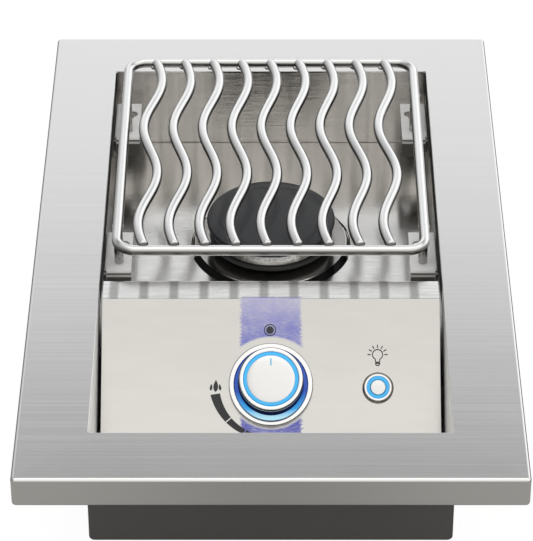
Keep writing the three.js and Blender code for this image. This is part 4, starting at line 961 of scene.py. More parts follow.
def sheet(
    name: str,
    outline: Sequence[Vector],
    holes: Sequence[Sequence[Vector]],
    lines: Sequence[Sequence[Vector]],
    lift: Callable[[Vector], Vector],
    thickness: float,
) -> Piece:
    """A piece of sheet metal from its flat pattern.

    Args:
        name: the piece's name.
        outline: the pattern's outline, anticlockwise as seen from the sheet's outer side.
        holes: the loops that are cut out.
        lines: lines that the mesh's edges must follow, such as folds.
        lift: takes a point of the pattern to its place in space.
        thickness: the sheet's thickness, which lies behind the outer side.

    Returns:
        The piece.
    """
    points: list[Vector] = []
    edges: list[tuple[int, int]] = []
    for loop in [outline, *holes]:
        first = len(points)
        points += loop
        edges += [(first + i, first + (i + 1) % len(loop)) for i in range(len(loop))]
    for line in lines:
        first = len(points)
        points += line
        edges += [(first + i, first + i + 1) for i in range(len(line) - 1)]
    flat, _, faces, *_ = delaunay_2d_cdt(points, edges, [], 1, 1e-7)
    kept = []
    for face in faces:
        centre = sum((flat[i] for i in face), Vector((0.0, 0.0))) / len(face)
        if inside(centre, outline) and not any(inside(centre, hole) for hole in holes):
            kept.append(face)
    mesh = bpy.data.meshes.new(name)
    mesh.from_pydata([lift(point) for point in flat], [], kept)
    skin = bmesh.new()
    skin.from_mesh(mesh)
    bmesh.ops.delete(skin, geom=[v for v in skin.verts if not v.link_faces], context="VERTS")
    skin.to_mesh(mesh)
    skin.free()
    piece = linked(name, mesh)
    wall = piece.modifiers.new("Wall", "SOLIDIFY")
    wall.thickness = thickness
    wall.offset = -1.0
    wall.use_even_offset = True
    return even_shading(applied(piece))


@dataclass
class Fold:
    """The bent outline that a sheet's flat pattern is wrapped along."""

    corners: Sequence[Point]
    radii: Sequence[float]
    steps: int = 6
    line: list[Vector] = field(init=False)
    stations: list[float] = field(init=False)

    def __post_init__(self) -> None:
        """Works out the line and how far along it each of its points is."""
        self.line = rounded(self.corners, self.radii, steps=self.steps)
        self.stations = [0.0]
        for a, b in zip(self.line, self.line[1:]):
            self.stations.append(self.stations[-1] + (b - a).length)

    @property
    def length(self) -> float:
        """The line's whole length."""
        return self.stations[-1]

    def at(self, station: float) -> Vector:
        """The point that far along the line."""
        for i in range(len(self.line) - 1):
            if station <= self.stations[i + 1] or i == len(self.line) - 2:
                share = (station - self.stations[i]) / (self.stations[i + 1] - self.stations[i])
                return self.line[i].lerp(self.line[i + 1], share)
        return self.line[-1]

    def station(self, point: Point) -> float:
        """How far along the line the place nearest to a point is."""
        best, found = 1e9, 0.0
        for i, (a, b) in enumerate(zip(self.line, self.line[1:])):
            share = max(0.0, min(1.0, (Vector(point) - a).dot(b - a) / (b - a).length_squared))
            distance = (Vector(point) - a.lerp(b, share)).length
            if distance < best:
                best, found = distance, self.stations[i] + share * (b - a).length
        return found

    def lines(self, low: float, high: float) -> list[list[Vector]]:
        """A line across the pattern at each bend point, for the mesh to follow."""
        return [[Vector((low, s)), Vector((high, s))] for s in self.stations[1:-1]]


def stroke(points: Sequence[Vector], width: float) -> list[Vector]:
    """The outline of a line that is drawn with a pen of one width."""
    left, right = [], []
    for i, point in enumerate(points):
        ahead = points[min(i + 1, len(points) - 1)] - points[max(i - 1, 0)]
        side = Vector((-ahead.y, ahead.x)).normalized() * (width / 2)
        left.append(point + side)
        right.append(point - side)
    return right + left[::-1]


def panel_place(x: float, down: float) -> Matrix:
    """The place on the panel's face at x and down its slope, with Z out of the panel.

    Args:
        x: the distance to the right of the middle.
        down: the distance down the slope from its upper fold.

    Returns:
        The matrix that puts a piece there, its X to the right and its Y up the slope.
    """
    behind = ControlPanel.opening_front + ControlPanel.ledge_behind - ControlPanel.ledge
    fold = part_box("trim_frame")[0].y + behind
    turn = Matrix.Rotation(PANEL_SLOPE, 4, "X")
    return Matrix.Translation((0.0, fold, TOP)) @ turn @ Matrix.Translation((x, -down, 0.0))


def join_pieces(name: str, pieces: Sequence[Piece]) -> Piece:
    """Puts several meshes into one piece."""
    whole = bmesh.new()
    for piece in pieces:
        whole.from_mesh(piece.data)
    for piece in pieces:
        bpy.data.objects.remove(piece)
    return finished(name, skinned(name, whole))


def settle(piece: Piece, finish: Finish, slot: str, *nodes: str, body: str = "burner_unit") -> None:
    """Dresses a piece, says which nodes it stands for and lets it ride on its body.

    Args:
        piece: the finished piece.
        finish: its finish.
        slot: the record's material slot; not used.
        nodes: the CAD nodes that it replaces.
        body: the CAD body that it moves with.
    """
    finish.dress(piece)
    if nodes:
        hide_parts(*nodes)
    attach(piece, body)
    faces = len(piece.data.polygons)
    LOG.info("%s: %d faces, stands for %s", piece.name, faces, ", ".join(nodes) or "itself")


# ---------------------------------------------------------------- sheet metal


@dataclass
class TrimFrame:
    """The wide flange that lies on the counter, with its turned down skirt."""

    flange: float = 0.0508
    metal: float = 0.0015
    fold: float = 0.0025
    corner: float = 0.003
    under: float = 0.014
    mouth: float = 0.0006
    mouth_corner: float = 0.002

    def build(self) -> None:
        """Sweeps the trim's section round the frame."""
        low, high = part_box("trim_frame")
        inner_low, inner_high = low.z + self.metal, high.z - self.metal
        section = [(self.flange, high.z), (0.0, high.z), (0.0, low.z), (self.under, low.z)]
        section += [(self.under, inner_low), (self.metal, inner_low), (self.metal, inner_high)]
        section += [(self.flange, inner_high)]
        edge, inner = self.metal / 4, self.fold - self.metal
        radii = [self.mouth, self.fold, self.fold, edge, edge, inner, inner, self.metal / 50]
        line = rounded(section, radii, closed=True)
        loops = [rounded_loop(high.x - inset, high.y - inset, self._corner(inset), z) for inset, z in line]
        piece = even_shading(loft("trim_frame_sheet", loops, around=True))
        settle(piece, TRIM_STEEL, "brushed_stainless", "trim_frame")

    def _corner(self, inset: float) -> float:
        """The corner's radius that far in from the trim's outer edge."""
        if inset < self.under:
            return max(self.corner - inset, self.metal / 4)
        return self.mouth_corner + min(self.flange - inset, self.corner - self.mouth_corner)


@dataclass
class Casing:
    """The dark coated box that hangs in the counter."""

    metal: float = 0.0012
    lip: float = 0.012
    corner: float = 0.004
    bend: float = 0.0015
    vents_per_row: int = 5
    vent_pitch: float = 0.02
    vent_length: float = 0.046
    vent_width: float = 0.006
    vent_row_offset: float = 0.062
    inlet_hole: float = 0.0083
    jack_hole: float = 0.0062

    def build(self) -> None:
        """Wraps the sides and the floor in one sheet and closes the ends with two more."""
        _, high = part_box("outer_casing")
        x, y = high.x - self.lip, high.y - self.lip
        rim = high.z - self.metal
        corners = [(-high.x, rim), (-x, rim), (-x, 0.0), (x, 0.0), (x, rim), (high.x, rim)]
        wrap = Fold(corners, [self.bend, self.corner, self.corner, self.bend])
        middle = wrap.length / 2
        vents = [self._vent(i, row, middle) for row in (-1, 1) for i in range(self.vents_per_row)]
        lift = lambda p: Vector((wrap.at(p.y).x, p.x, wrap.at(p.y).y))
        outline = rectangle(-y, 0.0, y, wrap.length)
        sides = sheet("casing_wrap", outline, vents, wrap.lines(-y, y), lift, self.metal)
        wall = Fold([(0.0, y), (rim, y), (rim, high.y)], [self.bend])
        back_holes = [circle(self.inlet_hole, 32, INLET_AT), circle(self.jack_hole, 32, JACK_AT)]
        ends = [self._end("casing_front", -1, x - self.metal, wall, [])]
        ends.append(self._end("casing_back", 1, x - self.metal, wall, back_holes))
        piece = join_pieces("outer_casing_box", [sides, *ends])
        settle(piece, COATED_STEEL, "casing_coating", "outer_casing")

    def _vent(self, i: int, row: int, middle: float) -> list[Vector]:
        """One slot in the floor, in the flat pattern."""
        x = (i - (self.vents_per_row - 1) / 2) * self.vent_pitch
        y = BURNER_Y + row * self.vent_row_offset
        reach = (self.vent_length - self.vent_width) / 2
        radius = self.vent_width / 2
        far = arc(radius, -math.pi / 2, math.pi / 2, 8, (y + reach, middle + x))
        return far + arc(radius, math.pi / 2, 1.5 * math.pi, 8, (y - reach, middle + x))

    def _end(self, name: str, side: int, half: float, wall: Fold, holes: list[list[Vector]]) -> Piece:
        """The front or back wall with its lip.

        Args:
            name: the wall's name.
            side: -1 for the front and 1 for the back.
            half: half the wall's width.
            wall: the outline of wall and lip, as (height, depth).
            holes: the loops that are cut out.

        Returns:
            The wall.
        """
        low_round = self.corner - self.metal
        shape = rectangle(-half, self.metal, half, wall.length)
        outline = rounded(shape, [low_round, low_round, 0.0, 0.0], closed=True)
        lift = lambda p: Vector((p.x, side * wall.at(p.y).y, wall.at(p.y).x))
        return sheet(name, outline, holes, wall.lines(-half, half), lift, -side * self.metal)


@dataclass
class BurnerPan:
    """The pan under the burner, with its raised boss and two arc slots."""

    metal: float = 0.001
    top: float = 0.027
    fold: float = 0.0016
    lip: float = 0.004
    boss_rise: float = 0.0047
    boss_inner: float = 0.0598
    boss_outer: float = 0.0637
    slot_inner: float = 0.0595
    slot_outer: float = 0.064
    slot_gap: float = math.radians(18)
    spigot_hole: float = 0.0206
    ceramic_hole: float = 0.0036
    ceramic_behind: float = 0.0547
    boss_rings: int = 8

    def build(self) -> None:
        """Draws the flat pattern about the burner's axis and presses it into shape."""
        low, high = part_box("burner_pan")
        self.half_x = high.x
        self.front, self.back = low.y - BURNER_Y, high.y - BURNER_Y
        slots = [self._slot(start) for start in (self.slot_gap, math.pi + self.slot_gap)]
        ceramic = circle(self.ceramic_hole, 24, (0.0, self.ceramic_behind))
        holes = [circle(self.spigot_hole, 64), ceramic, *slots]
        step = (self.boss_outer - self.boss_inner) / self.boss_rings
        rings = [circle(self.boss_inner + i * step, 128) for i in range(self.boss_rings + 1)]
        lines = [[*ring, ring[0]] for ring in rings] + self._folds()
        piece = sheet("burner_pan_sheet", self._outline(), holes, lines, self._lift, self.metal)
        settle(piece, PAN_STEEL, "brushed_stainless", "burner_pan")

    def _slot(self, start: float) -> list[Vector]:
        """One arc slot with round ends."""
        end = start + math.pi - 2 * self.slot_gap
        middle = (self.slot_inner + self.slot_outer) / 2
        radius = (self.slot_outer - self.slot_inner) / 2
        tip, root = ((middle * math.cos(angle), middle * math.sin(angle)) for angle in (end, start))
        loop = arc(self.slot_outer, start, end, 48) + arc(radius, end, end + math.pi, 8, tip)[1:]
        loop += arc(self.slot_inner, end, start, 48)[1:]
        return loop + arc(radius, start + math.pi, start + 2 * math.pi, 8, root)[1:-1]

    def _outline(self) -> list[Vector]:
        """The pattern: a plate with a tongue for the lip on each side."""
        x, f, b = self.half_x - self.fold, self.front + self.fold, self.back - self.fold
        tongue = self.fold * math.pi / 2 + self.lip - self.fold
        far_x, far_f, far_b = x + tongue, f - tongue, b + tongue
        points = [(x, f), (far_x, f), (far_x, b), (x, b), (x, far_b), (-x, far_b), (-x, b), (-far_x, b)]
        points += [(-far_x, f), (-x, f), (-x, far_f), (x, far_f)]
        return [Vector(point) for point in points]

    def _folds(self) -> list[list[Vector]]:
        """The lines at which the lips bend."""
        x, f, b = self.half_x - self.fold, self.front + self.fold, self.back - self.fold
        lines = []
        for i in range(5):
            out = self.fold * math.pi / 2 * i / 4
            lines += [[Vector((side * (x + out), f)), Vector((side * (x + out), b))] for side in (-1, 1)]
            lines += [[Vector((-x, end)), Vector((x, end))] for end in (f - out, b + out)]
        return lines

    def _wrap(self, value: float, limit: float) -> tuple[float, float]:
        """Where a point past a fold goes: its distance out, and its drop."""
        past = abs(value) - (limit - self.fold)
        if past <= 0:
            return value, 0.0
        turn = min(past / self.fold, math.pi / 2)
        out = limit - self.fold + self.fold * math.sin(turn)
        drop = self.fold * (1 - math.cos(turn)) + max(0.0, past - self.fold * math.pi / 2)
        return math.copysign(out, value), drop

    def _lift(self, point: Vector) -> Vector:
        """Takes a point of the pattern to its place on the pan."""
        x, drop_x = self._wrap(point.x, self.half_x)
        middle, half = (self.front + self.back) / 2, (self.back - self.front) / 2
        y, drop_y = self._wrap(point.y - middle, half)
        share = (self.boss_outer - point.length) / (self.boss_outer - self.boss_inner)
        share = max(0.0, min(1.0, share))
        rise = self.boss_rise * share * share * (3 - 2 * share)
        return Vector((x, y + middle + BURNER_Y, self.top + rise - drop_x - drop_y))


@dataclass
class ControlPanel:
    """The bent front panel: rear flange, ledge, slope, foot and front upstand."""

    opening_front: float = 0.0508
    ledge_behind: float = 0.1778
    ledge: float = 0.0228
    metal: float = 0.0012
    bend: float = 0.002
    foot_drop: float = 0.084
    flange_foot: float = 0.0273
    front_drop: float = 0.0018
    knob_hole: float = 0.0075
    button_hole: float = 0.0097

    def build(self) -> None:
        """Wraps the pattern along the panel's outline."""
        low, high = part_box("control_panel")
        rear, fold = high.y, high.y - self.ledge
        foot = fold - self.foot_drop / math.tan(PANEL_SLOPE)
        corners = [(rear, self.flange_foot), (rear, TOP), (fold, TOP), (foot, low.z), (low.y, low.z)]
        bends = Fold([*corners, (low.y, high.z - self.front_drop)], [self.bend] * 4)
        face = lambda down: (fold - down * math.cos(PANEL_SLOPE), TOP - down * math.sin(PANEL_SLOPE))
        places = ((self.knob_hole, (0.0, KNOB_DOWN)), (self.button_hole, BUTTON_AT))
        holes = [circle(radius, 40, (x, bends.station(face(down)))) for radius, (x, down) in places]
        lift = lambda p: Vector((p.x, bends.at(p.y).x, bends.at(p.y).y))
        outline = rectangle(low.x, 0.0, high.x, bends.length)
        piece = sheet("control_panel_sheet", outline, holes, bends.lines(low.x, high.x), lift, -self.metal)
        look = {"grain": Grain.ALONG_X, "line_width": 0.00006, "smear": 0.25, "mottle": 0.05, "patch": 0.012}
        look |= {"drawn": (5.0, 1.0, 1.0), "centre": tuple(panel_place(0.0, KNOB_DOWN).translation)}
        finish = LitPanelFinish("brushed_panel_steel", (0.69, 0.68, 0.658), 0.16, **look)
        settle(piece, finish, "brushed_stainless", "control_panel")


@dataclass
class PanelMarks:
    """The generic marks printed on the panel: off dot, heat arc, flame and lamp."""

    ink: float = 0.00012
    off_down: float = 0.0237
    off_dot: float = 0.0028
    off_ring: float = 0.0045
    pen: float = 0.0007
    off_shift: float = -0.00066
    arc_inner: float = 0.0376
    arc_wide: float = 0.0071
    arc_thin: float = 0.0012
    arc_start: float = math.radians(189)
    arc_breaks: Sequence[float] = (math.radians(219.5), math.radians(241.0))
    arc_end: float = math.radians(276)
    arc_gap: float = 0.0009
    flame: Point = (-0.0405, 0.0654)
    flame_height: float = 0.0088
    lamp: Point = (0.0782, 0.0421)
    bulb: float = 0.00375
    neck: float = 0.0016
    foot: float = 0.0019
    foot_gap: float = 0.0009
    rays: int = 7
    ray_start: float = 0.0049
    ray_length: float = 0.0025

    def build(self) -> None:
        """Prints each mark as a thin raised layer."""
        off = (self.off_shift, self.off_down)
        ring, hole = (circle(radius, 48) for radius in (self.off_ring, self.off_ring - self.pen))
        marks = [self._print(circle(self.off_dot, 40), off), self._print(ring, off, [hole])]
        groups = ((self._arcs(), (0.0, KNOB_DOWN)), (self._flame(), self.flame), (self._lamp(), self.lamp))
        marks += [self._print(outline, at) for outlines, at in groups for outline in outlines]
        settle(join_pieces("panel_marks", marks), PRINT, "black_plastic")
        self._rays()

    def _print(self, outline: list[Vector], at: Point, holes: Sequence[list[Vector]] = ()) -> Piece:
        """One printed shape, with its own zero at a place on the panel."""
        place = panel_place(*at)
        lift = lambda p: place @ Vector((p.x, p.y, self.ink))
        return sheet("mark", outline, holes, [], lift, self.ink * 0.9)

    def _arcs(self) -> list[list[Vector]]:
        """The heat arc, which grows thinner, in three stretches."""
        outlines = []
        starts = [self.arc_start, *self.arc_breaks]
        ends = [*self.arc_breaks, self.arc_end]
        gap = self.arc_gap / (2 * self.arc_inner)
        for i, (start, end) in enumerate(zip(starts, ends)):
            start += gap if i else 0.0
            end -= gap if i < len(starts) - 1 else 0.0
            inner = arc(self.arc_inner, start, end, 16)
            outer = [point * (1 + self._arc_width(point) / self.arc_inner) for point in inner]
            outlines.append(outer + inner[::-1])
        return outlines

    def _arc_width(self, point: Vector) -> float:
        """The arc's width beside a point of its inner edge."""
        angle = math.atan2(point.y, point.x) % (2 * math.pi)
        share = (angle - self.arc_start) / (self.arc_end - self.arc_start)
        return self.arc_wide + (self.arc_thin - self.arc_wide) * share

    def _flame(self) -> list[list[Vector]]:
        """A plain flame of three tongues: one in the middle and a short one at each side."""
        height = self.flame_height
        shift = Vector((0.0, -0.12 * height))
        flames = [self._tongue(0.0, height, 0.04)]
        for side in (-1, 1):
            tongue = self._tongue(side * 0.4 * height, 0.55 * height, -side * 0.12)
            flames.append([point + shift for point in tongue])
        return flames

    @staticmethod
    def _tongue(x: float, size: float, lean: float) -> list[Vector]:
        """A tongue of that size at x, which leans by a share of its size."""
        points = []
        for side, shares in ((1, range(0, 13)), (-1, range(11, 0, -1))):
            for t in (share / 12 for share in shares):
                belly = side * 0.2 * size * math.sin(math.pi * t**0.75) ** 0.9
                points.append(Vector((x + lean * size * t + belly, size * (t - 0.5))))
        return points

    def _lamp(self) -> list[list[Vector]]:
        """The outline of a bulb and the two lines of its foot."""
        opening = math.asin(self.neck / self.bulb)
        bulb = arc(self.bulb, -math.pi / 2 + opening, 1.5 * math.pi - opening, 40)
        foot = -self.bulb - self.foot
        path = [Vector((self.neck, foot)), *bulb, Vector((-self.neck, foot))]
        levels = (foot, foot - self.foot_gap)
        lines = [[Vector((-self.neck, level)), Vector((self.neck, level))] for level in levels]
        cup = arc(self.neck, 0.0, -math.pi, 10, (0.0, foot - self.foot_gap))
        return [stroke(line, self.pen) for line in (path, *lines, cup)]

    def _rays(self) -> None:
        """The rays round the bulb, each an instance of one bar."""
        place = panel_place(*self.lamp)
        sizes = {"Count": self.rays, "Start": self.ray_start, "Length": self.ray_length}
        tree = SolidTree("lamp_rays", Pen=self.pen, Ink=self.ink * 0.9, **sizes)
        count, length = tree["Count"], tree["Length"]
        bar = tree.triple(length, tree["Pen"], tree["Ink"])
        turn = tree.node("GeometryNodeInputIndex") * math.pi / (count - 1)
        rays = tree.fan(count, bar, tree["Start"] + length / 2, turn)
        lifted = place @ Vector((0.0, 0.0, self.ink / 2))
        rays = tree.moved(rays, Translation=tuple(lifted), Rotation=tuple(place.to_euler()))
        settle(tree.build("lamp_rays", rays, PRINT.material(), 20.0), PRINT, "black_plastic")


# ---------------------------------------------------------------- grate


@dataclass
class Grate:
    """The lift off grate: a bent frame, nine wavy rods and four legs."""

    bar: float = 0.00395
    bend: float = 0.014
    rod: float = 0.00395
    rods: int = 9
    pitch: float = 0.0231
    shift: float = -0.0014
    rise: float = 0.0027
    end_inset: float = 0.0021
    swing: float = 0.0063
    wave: float = 0.1305
    crest: float = 0.034
    leg: float = 0.0035
    leg_top: float = 0.0008
    leg_weld: Point = (0.0012, 0.0042)
    leg_radii: Point = (0.0006, 0.004, 0.0003)
    bead_shape: Point = (1.25, 0.75, 0.62)
    bead_rough: float = 0.0016
    bead_shift: Point = (0.0042, -0.0006)

    def build(self) -> None:
        """Makes the frame, the rods with their welds, and the legs."""
        low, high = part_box("grate_frame")
        self.half_x = high.x - self.bar
        self.half_y = (high.y - low.y) / 2 - self.bar
        self.middle = Vector((0.0, (low.y + high.y) / 2, (low.z + high.z) / 2))
        nodes = [f"wave_rod_{i}" for i in range(1, self.rods + 1)]
        settle(self._frame(), ROD_STEEL, "polished_rod", "grate_frame", body="grate")
        settle(self._waves(), ROD_STEEL, "polished_rod", *nodes, body="grate")
        for end in ("front", "rear"):
            for side in ("left", "right"):
                self._leg(f"grate_leg_{end}_{side}")

    def _frame(self) -> Piece:
        """The frame, swept along a rounded rectangle."""
        sizes = {"Width": 2 * self.half_x, "Depth": 2 * self.half_y, "Bend": self.bend, "Radius": self.bar}
        tree = SolidTree("grate_loop", **sizes)
        inputs = {"Width": tree["Width"], "Height": tree["Depth"]}
        loop = tree.node("GeometryNodeCurvePrimitiveQuadrilateral", {"mode": "RECTANGLE"}, inputs)
        inputs = {"Curve": loop, "Radius": tree["Bend"], "Count": 12}
        loop = tree.node("GeometryNodeFilletCurve", {"mode": "POLY"}, inputs)
        steel = tree.moved(tree.sweep(loop, tree["Radius"], 32), Translation=tuple(self.middle))
        return tree.build("grate_loop", steel, ROD_STEEL.material())

    def _waves(self) -> Piece:
        """The wavy rods and a weld at each of their ends."""
        sizes = {"Rods": self.rods, "Pitch": self.pitch, "Radius": self.rod, "Rise": self.rise}
        sizes |= {"Swing": self.swing, "Wave": self.wave, "Phase": self.half_y - self.crest}
        tree = SolidTree("wavy_rods", Reach=self.half_y - self.end_inset, **sizes)
        reach, radius = tree["Reach"], tree["Radius"]
        line = tree.line((0.0, 0.0, 0.0), (1.0, 0.0, 0.0))
        line = tree.node("GeometryNodeResampleCurve", inputs={"Curve": line, "Count": 120})
        y = (tree.node("GeometryNodeSplineParameter") * math.pi).apply("COSINE") * -1.0 * reach
        place = tree.triple(self._swing_at(tree, y), y, tree["Rise"])
        line = tree.node("GeometryNodeSetPosition", inputs={"Geometry": line, "Position": place})
        along = tree.split(tree.node("GeometryNodeInputPosition"))[1]
        dome = ((along - (reach - radius)) / radius).apply("MAXIMUM", 0.0).apply("MINIMUM", 0.995)
        chamfer = ((along * -1.0 - (reach - radius * 0.25)) / radius).apply("MAXIMUM", 0.0)
        rod = tree.sweep(line, radius, 24, True, (1.0 - dome * dome).apply("SQRT") - chamfer)
        start = (tree["Rods"] - 1) * tree["Pitch"] / -2.0
        seats = tree.seats(tree["Rods"], tree.triple(start + self.shift), tree.triple(tree["Pitch"]))
        welds = [self._welds(tree, seats, side) for side in (-1.0, 1.0)]
        whole = tree.realized(tree.join(tree.copies(seats, rod), *welds))
        whole = tree.moved(whole, Translation=tuple(self.middle))
        return tree.build("wavy_rods", whole, ROD_STEEL.material(), 55.0)

    def _swing_at(self, tree: SolidTree, y: Any) -> Value:
        """How far a rod swings to the side at a depth."""
        turn = (tree["Phase"] * -1.0 + y) / tree["Wave"] * (2 * math.pi)
        return turn.apply("COSINE") * tree["Swing"]

    def _welds(self, tree: SolidTree, seats: Value, side: float) -> Value:
        """A small irregular bead where each rod meets a bar."""
        inputs = {"Radius": tree["Radius"] * 0.8, "Subdivisions": 4}
        bead = tree.node("GeometryNodeMeshIcoSphere", inputs=inputs, output="Mesh")
        rough = tree.noise(tree.node("GeometryNodeInputPosition"), self.bead_rough, 2.0, 7.0) - 0.5
        bump = tree.vector("SCALE", tree.node("GeometryNodeInputNormal"), rough * self.bead_rough)
        bead = tree.node("GeometryNodeSetPosition", inputs={"Geometry": bead, "Offset": bump})
        depth = tree["Reach"] * side
        inward, up = self.bead_shift
        offset = tree.triple(self._swing_at(tree, depth), depth - side * inward, up)
        seats = tree.node("GeometryNodeSetPosition", inputs={"Geometry": seats, "Offset": offset})
        inputs = {"Min": -0.5, "Max": 0.5, "Seed": 11}
        turn = tree.node("FunctionNodeRandomValue", {"data_type": "FLOAT"}, inputs, 1)
        return tree.copies(seats, tree.moved(bead, Scale=self.bead_shape), turn)

    def _leg(self, node: str) -> None:
        """A straight leg that is welded under the frame."""
        low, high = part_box(node)
        centre = (low + high) / 2
        top = self.middle.z - self.leg_top - low.z
        out, down = self.leg_weld
        leg = self.leg
        corners = [(0.0, 0.0), (leg, 0.0), (leg, top - down), (leg + out, top - out), (0.0, top)]
        place = Matrix.Translation((centre.x, centre.y, low.z))
        piece = turned(node + "_rod", corners, self.leg_radii, place, 32, 5)
        settle(piece, LEG_STEEL, "polished_rod", node, body="grate")


@dataclass
class GrateBracket:
    """A bracket on a liner wall: plate, wall flange and front lip."""

    node: str
    side: int
    metal: float = 0.0015
    bend: float = 0.002
    wall_drop: float = 0.014
    lip_drop: float = 0.0175
    lip_corner: float = 0.004
    hole: float = 0.0043
    hole_from_wall: float = 0.0138
    hole_set_in: float = 0.034
    clip: float = 0.0021

    def build(self) -> None:
        """Bends the plate down at the wall and at its front."""
        low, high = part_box(self.node)
        outer = high.x if self.side > 0 else -low.x
        inner = low.x if self.side > 0 else -high.x
        front, back, top = low.y + self.metal, high.y, high.z
        fold = Fold([(top - self.wall_drop, outer), (top, outer), (top, inner)], [self.bend])
        hole_station = fold.station((top, outer - self.hole_from_wall))
        holes = [self._keyhole(front + self.hole_set_in, hole_station)]
        metal = self.metal * self.side
        outline = rectangle(front, 0.0, back, fold.length)
        lift = lambda p: Vector((self.side * fold.at(p.y).y, p.x, fold.at(p.y).x))
        plate = sheet("plate", outline, holes, fold.lines(front, back), lift, metal)
        drop = Fold([(low.y, top - self.lip_drop), (low.y, top), (front + self.bend, top)], [self.bend])
        far = outer - self.bend
        corners = rectangle(inner, 0.0, far, drop.length)
        outline = rounded(corners, [self.lip_corner, 0.0, 0.0, 0.0], closed=True, steps=8)
        lift = lambda p: Vector((self.side * p.x, drop.at(p.y).x, drop.at(p.y).y))
        lip = sheet("lip", outline, [], drop.lines(inner, far), lift, -metal)
        piece = join_pieces(self.node + "_plate", [plate, lip])
        look = {"grain": Grain.ALONG_Y, "smear": 0.05, "mottle": 0.01, "top": top}
        # Painted light: the steel plate is near white and not metallic, which paints in its bright
        # reflection.
        finish = BracketFinish("bright_bracket_steel", (1.0, 1.0, 0.995), 0.38, 0.0, **look)
        settle(piece, finish, "bright_stainless", self.node)

    def _keyhole(self, depth: float, station: float) -> list[Vector]:
        """A round hole with a small notch towards the front."""
        half = math.asin(self.clip / 2 / self.hole)
        notch = self.hole + self.clip
        loop = arc(self.hole, math.pi + half, 3 * math.pi - half, 32, (depth, station))
        return loop + [Vector((depth - notch, station + side * self.clip / 2)) for side in (1, -1)]


# ---------------------------------------------------------------- burner


@dataclass
class Burner:
    """Cap, ported head ring and bowl, all turned about the burner's axis."""

    cap_radius: float = 0.0505
    cap_rim: float = 0.0035
    cap_step: float = 0.04
    skirt_outer: float = 0.0405
    skirt_inner: float = 0.036
    skirt: float = 0.0035
    head_radius: float = 0.0465
    head_inner: float = 0.041
    head_skirt: float = 0.0042
    bowl_radius: float = 0.0485
    bowl_wall: float = 0.003
    bowl_floor: float = 0.0025
    spigot: float = 0.0202
    throat: float = 0.017
    ports: int = 24
    port_width: float = 0.002
    port_depth: float = 0.0026
    edge: float = 0.0005
    head_fit: float = 0.0003
    bowl_base: float = 0.032
    bowl_flare: Point = (0.006, 0.004)

    def build(self) -> None:
        """Turns the three pieces and cuts the ports."""
        self.place = Matrix.Translation((0.0, BURNER_Y, 0.0))
        self._cap()
        self._head()
        self._bowl()

    def _cap(self) -> None:
        """The dark cap, with a shallow step ring near its rim."""
        low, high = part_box("burner_cap")
        base = low.z + self.skirt
        top = base + self.cap_rim
        inner, outer, rim = self.skirt_inner, self.skirt_outer, self.cap_radius
        corners = [(0.0, base), (inner, base), (inner, low.z), (outer, low.z), (outer, base), (rim, base)]
        corners += [(rim, top - 0.0002)]
        corners += [(self.cap_step + 0.0012, top + 0.0001), (self.cap_step, top + 0.0006), (0.0, high.z)]
        radii = [0.0003] * 4 + [0.0006, 0.0018, 0.0006, 0.0006]
        piece = turned("burner_cap_disc", corners, radii, self.place, 128)
        settle(piece, CAP_ENAMEL, "cap_enamel", "burner_cap", body="cap")

    def _head(self) -> None:
        """The silver head ring; its ports are cut by a ring of bars."""
        low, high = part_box("burner_head")
        shoulder = low.z + self.head_skirt
        outer = self.bowl_radius - self.bowl_wall - self.head_fit
        corners = [(self.head_inner, low.z), (outer, low.z), (outer, shoulder), (self.head_radius, shoulder)]
        corners += [(self.head_radius, high.z), (self.head_inner, high.z)]
        ring = turned("burner_head_blank", corners, [self.edge] * 6, self.place, 128)
        sizes = {"Ports": self.ports, "Width": self.port_width, "Depth": self.port_depth * 2}
        tree = SolidTree("burner_ports", Reach=self.bowl_radius, **sizes)
        count, reach = tree["Ports"], tree["Reach"]
        cutter = tree.triple(reach * 0.4, tree["Width"], tree["Depth"])
        turn = (tree.node("GeometryNodeInputIndex") + 0.5) * (2 * math.pi) / count
        bars = tree.moved(tree.fan(count, cutter, reach * 0.9, turn), Translation=(0.0, BURNER_Y, high.z))
        blank = tree.node("GeometryNodeObjectInfo", {"transform_space": "ORIGINAL"}, {0: ring}, "Geometry")
        settings = {"operation": "DIFFERENCE", "solver": "EXACT"}
        ported = tree.node("GeometryNodeMeshBoolean", settings, {0: blank, 1: bars})
        piece = tree.build("burner_head_ring", ported, TURNED_METAL.material())
        bpy.data.objects.remove(ring)
        settle(piece, TURNED_METAL, "cast_alloy", "burner_head")

    def _bowl(self) -> None:
        """The bowl that stands on the pan's boss, with its spigot through the boss."""
        low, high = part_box("burner_bowl")
        base, floor = self.bowl_base, self.bowl_base + self.bowl_floor
        outer, inner = self.bowl_radius, self.bowl_radius - self.bowl_wall
        inward, up = self.bowl_flare
        corners = [(self.throat, low.z), (self.spigot, low.z), (self.spigot, base), (outer - inward, base)]
        corners += [(outer, base + up), (outer, high.z), (inner, high.z), (inner, floor)]
        corners += [(self.throat, floor)]
        radii = [self.edge] * 3 + [0.003, 0.003, self.edge, self.edge, 0.001, self.edge]
        piece = turned("burner_bowl_cup", corners, radii, self.place, 128)
        settle(piece, BOWL_ENAMEL, "cap_enamel", "burner_bowl")


# ---------------------------------------------------------------- controls


